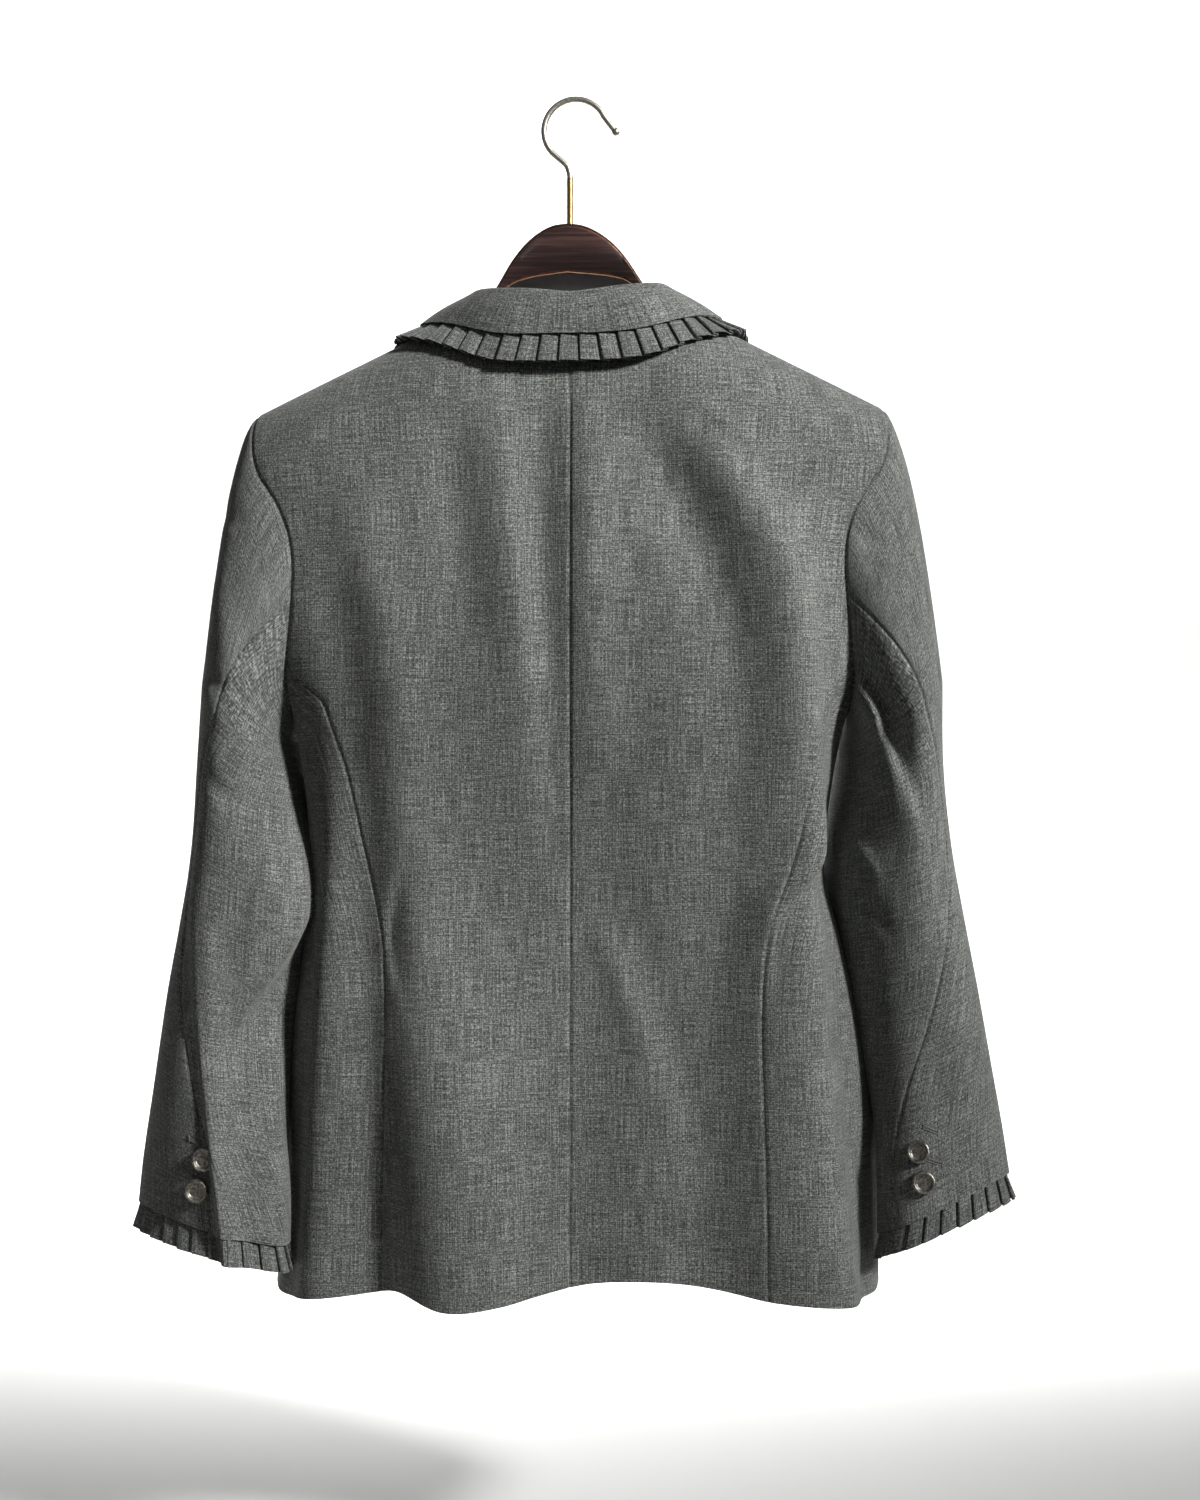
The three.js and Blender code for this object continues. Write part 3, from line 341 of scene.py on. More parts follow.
BODY = table("""
    z left right back front power
    -100 246 246 38 38 3
    -164 243 243 46 46 3
    -206 240 240 56 55 3
    -260 233 231 63 60 3
    -325 221 218 68 63 3
    -380 200 197 68 65 3
    -412 185 183 67 66 2.9
    -470 176 172 63 66 2.7
    -515 175 169 61 66 2.6
    -560 178 180 62 67 2.5
    -605 183 189 65 68 2.4
    -660 187 197 69 69 2.3
    -735 189 203 74 71 2.2
    -800 196 204 77 73 2.2
""")
PRINCESS_SEAM = table("""
    z back front
    -366 178 172
    -395 163 160
    -424 153 152
    -450 145 145
    -491 136 137
    -543 124 130
    -590 120 128
    -650 121 130
    -720 123 134
    -800 124 138
""")
HEM = table("""
    x z
    -210 -790
    -160 -791
    -114 -780
    -77 -788
    -42 -785
    -22 -781
    16 -774.5
    55 -773.5
    93 -778
    132 -786
    165 -791
    210 -797
""")
OPENING = table("""
    z x
    -430 -14
    -350 14
    -270 40
    -190 62
    -138.6 72
""")
LAPEL_OUTER = table("""
    z x
    -430 -8
    -405 22
    -370 48
    -320 74
    -252 97
""")

SLEEVE = {
    -1: table("""
        z outer inner midY halfY lean drop seam foreSeam
        -412 240 182 0 66 12 27 84 236
        -456 244.5 178.5 4 62 14 18 62 232
        -508 249.5 173 6 57 15 14 52 228
        -560 257.5 178.5 4 50 14 13 58 226
        -612 266 187 -4 43 10 13 70 226
        -664 273 189.5 -15 36 2 13 84 226
        -710 280 186 -23 31 -6 12 98 228
        -741 283.5 185.5 -26 29 -10 12 102 230
"""),
    1: table("""
        z outer inner midY halfY lean drop seam foreSeam
        -410 243 181.5 0 66 12 27 84 236
        -456 244.5 176.5 4 62 14 18 60 232
        -508 251 170 7 57 16 15 55 230
        -556 260 180.5 6 50 15 15 74 230
        -604 269 191 2 44 14 16 106 234
        -652 277 201.5 -8 38 6 18 136 240
        -698 285 201.5 -19 32 -6 19 136 246
        -731 290 200.5 -24 29 -12 19 125 246
"""),
}
CAP_REACH = table("""
    turn outX outY outZ inX inZ
    0 54 0 -66 22 -200
    90 40 -22 -36 14 -95
    180 8 0 -8 -8 -40
    270 40 22 -36 14 -95
    360 54 0 -66 22 -200
""")
# Collar, from the middle of the back to its front end
COLLAR = {
    "foot": points_of("0 -46 -163.2, 20 -45 -161.6, 41 -40.5 -155.6, 60 -29 -146, 69.5 -12 -138.4, "
                      "70 6 -138.2, 68 27 -149, 64 44 -169, 60.6 52 -189.5"),
    "fold": points_of("0 -50 -137, 17 -49 -136, 34 -44.5 -133, 54 -31 -129.5, 62 -12 -129.5, "
                      "64.5 8 -131, 64 31 -141, 61.5 49 -163, 59 58 -187"),
    "edge": points_of("0 -58 -166, 22 -57.5 -165.3, 46 -54 -162, 77 -35 -151, 95 -17 -147, "
                      "102 7 -146, 106 32 -164, 105 53 -190, 98 62 -213"),
    "trim": points_of("0 -61.5 -184, 25 -61 -183, 51 -58 -179, 85 -45 -167, 108 -24 -157, "
                      "118 9 -154, 122 36 -174, 120 56 -202, 111 64 -226"),
}


def settle(x):
    """The left shoulder hangs a little lower."""
    return -LEFT_DROP * smooth(-np.asarray(x, float) / LEFT_DROP_WITHIN)


def shoulder_height(x):
    return SHOULDER_PEAK - SHOULDER_SLOPE * np.abs(x) + settle(x)


def body_at(x, z, side):
    height = np.clip(z, LOWEST, HIGHEST)
    half = np.where(np.asarray(x) < 0, along(BODY, "left", height), along(BODY, "right", height))
    depth = along(BODY, "back" if side < 0 else "front", height)
    return half, depth, along(BODY, "power", height)


# Creases of the cloth. A crease is rows of x, z, height, and the widths of its slopes towards
# lower and higher places. Rows end with a comma and creases with a semicolon. A crease runs
# along Z, or along X where it starts with x. A height above nothing is a ridge and one below
# it is a trough.
def creases(text):
    found = []
    lines = "".join(line + " " for line in text.splitlines() if "#" not in line)
    for part in lines.strip(" ;").split(";"):
        key = 0 if "x" in part else 1
        values = points_of(part.replace("x", ""))
        if values[0, key] > values[-1, key]:
            values = values[::-1]
        found.append({"key": key, "at": values[:, key], "rest": np.delete(values, key, axis=1)})
    return found


def crease_relief(all_creases, x, z):
    total = np.zeros(np.broadcast(x, z).shape)
    for c in all_creases:
        run = z if c["key"] == 1 else x
        off_axis = x if c["key"] == 1 else z
        place, high, low_width, high_width = np.moveaxis(hermite(c["at"], c["rest"], run), -1, 0)
        off = off_axis - place
        width = np.where(off < 0, low_width, high_width)
        live = (run > c["at"][0]) & (run < c["at"][-1])
        total += np.where(live, high * np.exp(-((off / width) ** 2)), 0)
    return total


BACK_CREASES = creases("""
# ridge, trough and ridge beside the middle seam, below the collar
-50 -190 0 16 10, -44 -235 2.6 18 9, -38 -300 3.4 18 9, -32 -360 2.8 18 10, -30 -430 1.2 18 12,
-30 -520 0 18 14;
-14 -185 0 9 11, -18 -235 -2 9 11, -18 -300 -2.6 9 12, -14 -370 -2 10 13, -10 -450 -1 12 14,
-6 -540 0 14 14;
12 -180 0 11 12, 12 -235 2.2 12 13, 14 -300 2.6 13 15, 16 -380 1.8 14 18, 20 -480 0 16 20;
# left: diagonal run of light from the shoulder blade, and the trough outside it
-138 -240 0 20 14, -131 -290 2 20 14, -119 -345 2.6 18 15, -111 -400 2.2 17 17,
-107 -470 1.8 17 20, -104 -540 1.2 18 26, -102 -580 0 18 28;
-156 -300 0 12 14, -149 -350 -1.2 12 14, -141 -420 -1.4 12 15, -136 -520 -1.8 13 16,
-131 -600 -3.4 14 18, -126 -700 -6.5 16 20, -120 -800 -9 18 22;
# left: long fold down to the hem, dark on its left slope
-104 -440 0 18 26, -100 -540 2.2 20 30, -90 -620 8 26 36, -79 -700 14 34 42, -65 -800 19 43 46;
# left: short curved dent inside the waist
-103 -500 0 4 9, -112 -530 -1.6 5 10, -114 -560 -1.5 5 11, -98 -612 0 5 12;
# right: trough and ridge from the shoulder blade to the waist
42 -205 0 16 18, 54 -240 -3.4 18 20, 86 -307 -4.6 20 20, 104 -380 -4.4 22 18, 104 -440 -4 24 18,
100 -510 -4.8 30 20, 92 -570 -6.2 40 26, 86 -640 -8 50 34, 88 -740 -9.5 56 42, 90 -800 -10 56 46;
82 -205 0 16 14, 94 -240 3.2 20 14, 132 -307 5 22 16, 146 -370 5.2 20 12, 147 -430 5 20 10,
146 -500 4 20 10, 144 -540 0 20 10;
# right: crease drawn in from the armhole to the waist
166 -430 0 12 6, 157 -470 3.8 13 7, 145 -505 6 14 5, 133 -528 4.4 13 5, 124 -560 0 12 6;
136 -512 0 5 8, 131 -535 -2.6 5 8, 129 -560 -2.4 5 9, 131 -610 0 5 10;
# right: long fold down to the hem, dark on its left slope
138 -505 0 24 12, 144 -560 7 28 13, 153 -640 13 40 14, 161 -720 17 48 15, 168 -800 20 54 16;
# right: soft diagonals at the lower middle
16 -545 0 12 9, 30 -575 1.8 12 9, 48 -625 2 14 10, 72 -690 0 14 12;
34 -520 0 12 14, 50 -570 -1.6 12 14, 70 -630 -1.6 12 14, 88 -690 0 12 14;
# middle drawn in below the shoulder blades, so the two halves face apart
4 -330 0 80 70, 6 -430 -3.6 90 80, 8 -540 -8 95 85, 10 -660 -10.5 100 90, 12 -800 -10 105 95;
# right: the whole half turned a little away from the light
120 -230 0 60 40, 132 -330 6.5 85 34, 136 -430 10 100 30, 140 -540 10.5 105 28,
146 -660 7.5 105 28, 152 -800 6 105 26;
# hem waves
-156 -440 0 14 15, -156 -520 4 14 16, -160 -640 6.5 14 17, -164 -800 10 15 18;
10 -540 0 34 30, 8 -660 -2.6 34 30, 6 -800 -5.5 36 32;
52 -600 0 20 18, 54 -700 1.6 24 20, 54 -800 2.6 26 22;
# pulls below the collar
-86 -205 0 12 12, -78 -240 -1.6 13 13, -72 -300 -1.8 14 14, -70 -380 0 14 14;
66 -195 0 8 9, 98 -222 1.4 8 9, 126 -250 0 8 9;
""")
FRONT_CREASES = creases("""
120 -360 0 14 18, 104 -440 -2.4 16 18, 98 -560 -3 18 20, 104 -700 -4 20 20, 108 -800 -5 20 20;
-118 -370 0 18 14, -106 -450 -2.2 18 16, -100 -570 -3.2 20 18, -106 -700 -4.2 20 20,
-110 -800 -5 20 20;
66 -470 0 22 22, 64 -620 2.6 24 24, 60 -800 5 26 26;
-64 -480 0 22 22, -62 -620 2.2 24 24, -66 -800 4.5 26 26;
150 -230 0 12 12, 132 -290 -1.6 13 13, 124 -350 -1.4 14 14, 118 -420 0 14 14;
-148 -235 0 12 12, -130 -300 -1.8 13 13, -120 -370 -1.2 14 14, -116 -440 0 14 14;
x 8 -470 0 7 9, 40 -480 1.2 8 10, 80 -500 0 9 11;
x 12 -556 0 7 9, 44 -572 1 8 10, 86 -590 0 9 11;
""")


def body_relief(x, y, z, side):
    """Height of the creases, none at the armhole, the shoulder and the turn of the side."""
    half, _, _ = body_at(x, z, side)
    edge = smooth((half - np.abs(x)) / FLAT_AT_SIDE)
    top = smooth((shoulder_height(x) - z - FLAT_AT_SHOULDER) / SHOULDER_FADE)
    middle = ARMHOLE_MIDDLE + settle(np.sign(x) * SHOULDER_TIP)
    reach = ARMHOLE_BACK if side < 0 else ARMHOLE_FRONT
    hole = smooth((np.hypot(y / reach, (z - middle) / ARMHOLE_HALF_HEIGHT) - 1) / ARMHOLE_FADE)
    strength = lerp(RELIEF_LOWER, RELIEF_UPPER, smooth((z - RELIEF_FROM) / RELIEF_WITHIN))
    relief = crease_relief(BACK_CREASES if side < 0 else FRONT_CREASES, x, z)
    return relief * strength * edge * top * hole


def side_flare(p):
    """How much further out the lower front stands beside the sleeves."""
    x, y, z = np.moveaxis(p, -1, 0)
    half, _, _ = body_at(x, z, 1)
    down = smooth((SIDE_FLARE_FROM - z) / SIDE_FLARE_FADE)
    down = down * lerp(SIDE_FLARE_HEM, 1, smooth((z - SIDE_FLARE_TO) / SIDE_FLARE_HEM_FADE))
    near = smooth((np.abs(x) / half - SIDE_FLARE_SHARE) / SIDE_FLARE_SHARE_FADE)
    off = (y - SIDE_FLARE_AT) / SIDE_FLARE_WIDTH
    moved = p.copy()
    moved[..., 0] += np.sign(x) * SIDE_FLARE * down * near * np.exp(-(off**2))
    return moved


def body_y(x, z, side):
    half, depth, power = body_at(x, z, side)
    section = (1 - np.clip(np.abs(x / half), 0, 1) ** power) ** (1 / power)
    rise = np.clip((shoulder_height(x) - z) / SHOULDER_ROUND, 0, 1)
    return side * depth * section * np.sqrt(1 - (1 - rise) ** 2)


def body_level(x, y, z, side):
    """1 on the body's outside, and growing outwards."""
    half, depth, power = body_at(x, z, side)
    wide = np.clip(np.abs(x / half), 0, 1)
    section = (1 - wide**power) ** (1 / power)
    rise = np.clip((shoulder_height(x) - z) / SHOULDER_ROUND, -1, 1)
    deep = np.hypot(y, (1 - rise) * depth * section) / depth
    return (np.abs(x / half) ** power + deep**power) ** (1 / power)


def unit(v):
    return v / np.maximum(np.linalg.norm(v, axis=-1, keepdims=True), 1e-9)


def body_normal(p, side):
    step = 0.05
    ways = [
        body_level(*np.moveaxis(p + a, -1, 0), side) - body_level(*np.moveaxis(p - a, -1, 0), side)
        for a in np.eye(3) * step
    ]
    return unit(np.stack(ways, axis=-1))


def armhole_ring(hand, turn):
    """Depth and height of the armhole edge by turn, and the side of the body that it is on."""
    a = np.radians(turn)
    side = np.where(np.sin(a) >= 0, -1, 1)
    reach = np.where(side < 0, ARMHOLE_BACK, ARMHOLE_FRONT)
    y = -reach * np.sin(a)
    z = ARMHOLE_MIDDLE + settle(hand * SHOULDER_TIP) + ARMHOLE_HALF_HEIGHT * np.cos(a)
    return y, z, side


def armhole_reach(hand, turn):
    """How far out the body stands at the armhole edge, found by halving."""
    y, z, side = armhole_ring(hand, turn)
    near = np.full(y.shape, 120.0)
    far = np.full(y.shape, 260.0)
    for _ in range(40):
        x = (near + far) / 2
        back = body_level(hand * x, y, z, -1)
        front = body_level(hand * x, y, z, 1)
        outside = np.where(side < 0, back, front) > 1
        far = np.where(outside, x, far)
        near = np.where(outside, near, x)
    return near


ARMHOLE_TURNS = np.linspace(0, 360, 721)
ARMHOLE_REACH = {hand: armhole_reach(hand, ARMHOLE_TURNS) for hand in (-1, 1)}


def armhole(hand, turn):
    """Places on the armhole edge by turn: 0 shoulder, 90 back, 180 underarm, 270 front."""
    turn = np.atleast_1d(np.asarray(turn, float))
    y, z, _ = armhole_ring(hand, turn)
    x = np.interp(turn % 360, ARMHOLE_TURNS, ARMHOLE_REACH[hand])
    return np.stack([hand * x, y, z], axis=-1)


def armhole_part(v):
    return (v - SEAM_SHARE) / (1 - SEAM_SHARE)


def row_height(low, high, v):
    deepest = math.cos(math.radians(BACK_SEAM_TURN))
    share = np.cos(np.radians(BACK_SEAM_TURN * (1 - armhole_part(v))))
    return lerp(low, high, (share - deepest) / (1 - deepest))


def seam_at(z, column):
    return along(PRINCESS_SEAM, column, np.clip(z, LOWEST, SEAM_TOP))


def side_edge(hand, side, hem, v):
    turn = BACK_SEAM_TURN if side < 0 else FRONT_SEAM_TURN
    corner = armhole(hand, turn)[0]
    z = lerp(hem, corner[2], np.minimum(v / SEAM_SHARE, 1))
    x = seam_at(z, "back" if side < 0 else "front")
    x = lerp(x, abs(corner[0]), smooth((z - (corner[2] - SEAM_BEND)) / SEAM_BEND))
    p = armhole(hand, lerp(turn, 0 if side < 0 else 360, np.clip(armhole_part(v), 0, 1)))
    low = v <= SEAM_SHARE
    return np.where(low, x, np.abs(p[:, 0])), np.where(low, z, p[:, 2])


def between(edges, u, v):
    """Points between four edges that meet at their corners, on a grid of rows v by columns u."""
    foot, head = edges["foot"](u), edges["head"](u)
    near, far = edges["near"](v), edges["far"](v)
    out = []
    for i in (0, 1):
        f, h, n, r = (np.broadcast_to(e[i], s.shape) for e, s in
                      ((foot, u), (head, u), (near, v), (far, v)))
        bottom = lerp(f[0], f[-1], u)
        top = lerp(h[0], h[-1], u)
        blend_v = lerp(f[None, :], h[None, :], v[:, None])
        blend_u = lerp(n[:, None], r[:, None], u[None, :])
        corners = lerp(bottom[None, :], top[None, :], v[:, None])
        out.append(blend_v + blend_u - corners)
    return out


def spread(count, edge=0.02, thin=0.25):
    """Shares from 0 to 1, closer together near both ends so that the seam roll is smooth."""
    count = max(12, int(count * FINE))
    t = np.linspace(0, 1, 2001)
    density = 1 / (thin + (1 - thin) * smooth(np.minimum(t, 1 - t) / (4 * edge)))
    total = np.concatenate([[0], np.cumsum((density[1:] + density[:-1]) / 2)])
    return np.interp(np.linspace(0, 1, count + 1), total / total[-1], t)


def grid_normals(grid, like=None):
    """Normals of a grid, on the side that the like ones are on."""
    normals = unit(np.cross(np.gradient(grid, axis=0), np.gradient(grid, axis=1)))
    if like is not None and np.einsum("ijk,ijk->", normals, like) < 0:
        return -normals
    return normals


def open_seams(grid):
    """Draws the edges of a grid back by half a seam gap."""
    for row, inner in ((0, 1), (-1, -2)):
        grid[row] += unit(grid[inner] - grid[row]) * SEAM_GAP / 2
        grid[:, row] += unit(grid[:, inner] - grid[:, row]) * SEAM_GAP / 2
    return grid


def edge_distance(grid, free=()):
    """Distance of each point to the nearest sewn edge of its panel, along rows and columns."""
    down = running(grid)
    across = running(grid, 1)
    parts = {
        "foot": down,
        "head": down[-1:] - down,
        "near": across,
        "far": across[:, -1:] - across,
    }
    return np.min([d for name, d in parts.items() if name not in free], axis=0)


def seam_roll(grid, normals, free=()):
    """Sinks the cloth softly into its seams."""
    d = edge_distance(grid, free)
    return grid - normals * (SEAM_ROLL * np.exp(-((d / SEAM_ROLL_WIDTH) ** 2)))[..., None]


def face_list(rows, cols):
    """Quads of a closed shell: the outside layer, the inside layer, and the strips between."""
    n = rows * cols
    at = np.arange(n).reshape(rows, cols)
    a, b, c, d = at[:-1, :-1], at[:-1, 1:], at[1:, 1:], at[1:, :-1]
    quads = [np.stack([a, b, c, d], -1).reshape(-1, 4)]
    quads.append(np.stack([a, d, c, b], -1).reshape(-1, 4) + n)
    for line, turned in ((at[0], 1), (at[-1], 0), (at[:, 0], 0), (at[:, -1], 1)):
        p, q = line[:-1], line[1:]
        strip = [p, p + n, q + n, q] if turned else [p, q, q + n, p + n]
        quads.append(np.stack(strip, -1))
    return np.vstack(quads)


def ring_faces(rows, cols):
    """Quads between rings of points, each ring closed."""
    at = np.arange(rows * cols).reshape(rows, cols)
    after = np.roll(at, -1, axis=1)
    return np.stack([at[:-1], after[:-1], after[1:], at[1:]], -1).reshape(-1, 4)


def add_mesh(name, points, faces, material):
    mesh = bpy.data.meshes.new(name)
    mesh.from_pydata((points * MM).tolist(), [], faces)
    mesh.validate()
    mesh.shade_smooth()
    mesh.materials.append(material)
    piece = bpy.data.objects.new(name, mesh)
    bpy.context.scene.collection.objects.link(piece)
    return piece


def closed_piece(name, points, faces, material, uv=None, smooth_angle=50):
    """A closed mesh with its faces turned out, which rides on the blazer."""
    a, b, c, d = (points[faces[:, k]] for k in range(4))
    volume = np.einsum("ij,ij->", a, np.cross(b, c)) + np.einsum("ij,ij->", a, np.cross(c, d))
    if volume < 0:
        faces = faces[:, ::-1]
    piece = add_mesh(name, points, faces.tolist(), material)
    mesh = piece.data
    if uv is not None:
        layer = mesh.uv_layers.new(name="Grain")
        corner = np.empty(len(mesh.loops), int)
        mesh.loops.foreach_get("vertex_index", corner)
        layer.data.foreach_set("uv", (uv * MM)[corner].ravel())
    mesh.set_sharp_from_angle(angle=math.radians(smooth_angle))
    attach(piece, "root")
    return piece


def shell(name, outside, inside, material, uv):
    points = np.vstack([outside.reshape(-1, 3), inside.reshape(-1, 3)])
    flat = uv.reshape(-1, 2)
    faces = face_list(*outside.shape[:2])
    return closed_piece(name, points, faces, material, np.vstack([flat, flat]))


def running(points, axis=0):
    """Length along rows or columns of points, from nothing at their start."""
    steps = np.linalg.norm(np.diff(points, axis=axis), axis=-1)
    none = np.zeros_like(np.take(steps, [0], axis))
    return np.concatenate([none, np.cumsum(steps, axis=axis)], axis=axis)


def grain(grid, level=False, start=0.0):
    """Places on the cloth in millimetres, across and along its grain."""
    begin = GRAIN_FROM + GRAIN_STEP * start + GRAIN_HAND * np.sign(start)
    if level:
        return np.stack([running(grid[..., :2], 1) + begin, grid[..., 2]], -1)
    across = running(grid, 1)
    middle = grid.shape[1] // 2
    across = across - across[:, middle : middle + 1]
    down = np.broadcast_to(running(grid[:, middle])[:, None], across.shape)
    return np.stack([across + begin, down], -1)


# Body panels
def sewn_panel(name, grid, normals, relief, cloth, free, start):
    raised = side_flare(grid + normals * relief[..., None])
    shaped = grid_normals(raised, normals)
    outside = seam_roll(raised, shaped, free)
    uv = grain(raised, level=True, start=start)
    return shell(name, outside, outside - shaped * CLOTH_WALL, cloth, uv)


def body_panel(name, grid, side, cloth, free, start):
    grid = open_seams(grid)
    relief = body_relief(*np.moveaxis(grid, -1, 0), side)
    return sewn_panel(name, grid, body_normal(grid, side), relief, cloth, free, start)


def back_panel(hand, cloth):
    def hem(x):
        return along(HEM, "z", hand * x)

    corner = armhole(hand, BACK_SEAM_TURN)[0][2]
    neck_share = NECK_HALF / SHOULDER_TIP
    neck_point = SHOULDER_PEAK - SHOULDER_SLOPE * NECK_HALF
    seam_foot = seam_at(SEAM_FOOT, "back")

    def head(u):
        x = u * SHOULDER_TIP
        neck = lerp(BACK_NECK, neck_point, (x / NECK_HALF) ** NECK_BEND) + settle(hand * x)
        return x, np.where(u >= neck_share, shoulder_height(hand * x), neck)

    def near(v):
        low = lerp(hem(0), corner, v / SEAM_SHARE)
        return 0 * v, np.where(v <= SEAM_SHARE, low, row_height(corner, BACK_NECK, v))

    edges = {
        "foot": lambda u: (u * seam_foot, hem(u * seam_foot)),
        "head": head,
        "near": near,
        "far": lambda v: side_edge(hand, -1, hem(seam_foot), v),
    }
    u = np.sort(np.append(spread(BACK_COLUMNS), neck_share))
    x, z = between(edges, u, spread(BACK_ROWS, HEM_EDGE))
    grid = np.stack([hand * x, body_y(hand * x, z, -1), z], -1)
    return body_panel(f"cloth_back_{NAMES[hand]}", grid, -1, cloth, ("foot",), 3 * hand)


def front_y(hand, x, z):
    share = (x + UNDER_FRONT_FROM) / (UNDER_FRONT_FROM - UNDER_FRONT_TO)
    inset = 0 if hand > 0 else UNDER_FRONT_INSET * smooth(share)
    return body_y(x, z, 1) - inset


def front_panel(hand, cloth):
    corner = armhole(hand, FRONT_SEAM_TURN)[0][2]

    def head(u):
        x = lerp(NECK_HALF, SHOULDER_TIP, u)
        return x, shoulder_height(hand * x)

    def near(v):
        low = lerp(FRONT_HEM, corner, v / SEAM_SHARE)
        high = row_height(corner, shoulder_height(hand * NECK_HALF), v)
        z = np.where(v <= SEAM_SHARE, low, high)
        return np.where(z < BREAK_HEIGHT, -OVERLAP, along(OPENING, "x", z)), z

    edges = {
        "foot": lambda u: (lerp(-OVERLAP, seam_at(SEAM_FOOT, "front"), u), FRONT_HEM + 0 * u),
        "head": head,
        "near": near,
        "far": lambda v: side_edge(hand, 1, FRONT_HEM, v),
    }
    x, z = between(edges, spread(FRONT_COLUMNS), spread(FRONT_ROWS, HEM_EDGE))
    grid = np.stack([hand * x, front_y(hand, hand * x, z), z], -1)
    free = ("foot", "near")
    return body_panel(f"cloth_front_{NAMES[hand]}", grid, 1, cloth, free, 5 * hand)


def side_panel(hand, cloth):
    def round_of(x, z, side):
        half, _, power = body_at(hand + 0 * z, z, side)
        return -side * np.arccos(np.clip(x / half, 0, 1) ** (power / 2))

    def edge(side, v):
        turn = BACK_SEAM_TURN if side < 0 else FRONT_SEAM_TURN
        hem = along(HEM, "z", hand * seam_at(SEAM_FOOT, "back")) if side < 0 else FRONT_HEM
        z = lerp(hem, armhole(hand, turn)[0][2], v)
        x, _ = side_edge(hand, side, hem, v * SEAM_SHARE)
        return round_of(x, z, side), z

    def head(u):
        p = armhole(hand, lerp(BACK_SEAM_TURN, FRONT_SEAM_TURN, u))
        back = round_of(np.abs(p[:, 0]), p[:, 2], -1)
        front = round_of(np.abs(p[:, 0]), p[:, 2], 1)
        return np.where(p[:, 1] > 0, front, back), p[:, 2]

    ends = [edge(side, np.zeros(1)) for side in (-1, 1)]

    def foot(u):
        turn = lerp(ends[0][0], ends[1][0], u)
        line = lerp(ends[0][1], ends[1][1], u)
        hem = lerp(FRONT_HEM, along(HEM, "z", hand * SIDE_HEM_X), smooth(turn + 0.5))
        return turn, lerp(line, hem, np.sin(np.pi * u))

    edges = {"foot": foot, "head": head, "near": lambda v: edge(-1, v), "far": lambda v: edge(1, v)}
    turn, z = between(edges, spread(SIDE_COLUMNS), spread(SIDE_ROWS, SIDE_HEM_EDGE))
    halves = []
    for side in (-1, 1):
        half, depth, power = body_at(hand + 0 * z, z, side)
        x = hand * half * np.cos(turn) ** (2 / power)
        y = side * depth * np.abs(np.sin(turn)) ** (2 / power)
        p = np.stack([x, y, z], -1)
        relief = body_relief(x, y, z, side)[..., None]
        halves.append((p, body_normal(p, side), relief))
    back = (turn > 0)[..., None]
    grid, normals, relief = (np.where(back, *pair) for pair in zip(*halves))
    name = f"cloth_side_{NAMES[hand]}"
    relief = relief[..., 0]
    return sewn_panel(name, open_seams(grid), normals, relief, cloth, ("foot",), 40 * hand)


def lapel(hand, cloth):
    low = BREAK_HEIGHT + 1 if hand > 0 else CROSSING_HEIGHT

    def roll(z):
        return along(OPENING, "x", z) + LAPEL_OFF_EDGE

    def outer(z):
        return along(LAPEL_OUTER, "x", z)

    def near(v):
        z = lerp(low, GORGE_INNER, v)
        return roll(z), z

    def far(v):
        z = lerp(low, GORGE_OUTER, v)
        return outer(z), z

    def foot(u):
        return lerp(roll(low), outer(low), u), low + 0 * u

    def head(u):
        x = lerp(roll(GORGE_INNER), outer(GORGE_OUTER), u)
        return x, lerp(GORGE_INNER, GORGE_OUTER, u)

    edges = {"foot": foot, "head": head, "near": near, "far": far}
    x, z = between(edges, spread(LAPEL_COLUMNS), spread(LAPEL_ROWS))
    base = np.stack([hand * x, front_y(hand, hand * x, z), z], -1)
    normals = body_normal(base, 1)
    lift = LAPEL_GAP + body_relief(*np.moveaxis(base, -1, 0), 1)
    bend = np.linspace(0, 1, x.shape[1])[None, :]
    lift = (lift + LAPEL_BULGE * np.sin(np.pi * bend) * smooth((z - low) / LAPEL_FADE))[..., None]
    outside = base + normals * (lift + LAPEL_WALL)
    inside = base + normals * lift
    return shell(f"cloth_lapel_{NAMES[hand]}", outside, inside, cloth, grain(outside))


# Sleeves
def sleeve_ring(hand, z, turn):
    value = {name: along(SLEEVE[hand], name, z) for name in SLEEVE[hand]}
    a = np.radians(turn)
    reach = (value["outer"] - value["inner"]) / 2
    middle = (value["outer"] + value["inner"]) / 2
    wide = np.sqrt(reach**2 - value["lean"] ** 2)
    return np.stack(
        [
            hand * (middle + wide * np.cos(a) + value["lean"] * np.sin(a)),
            value["midY"] - value["halfY"] * np.sin(a),
            z + value["drop"] * np.cos(a),
        ],
        -1,
    )


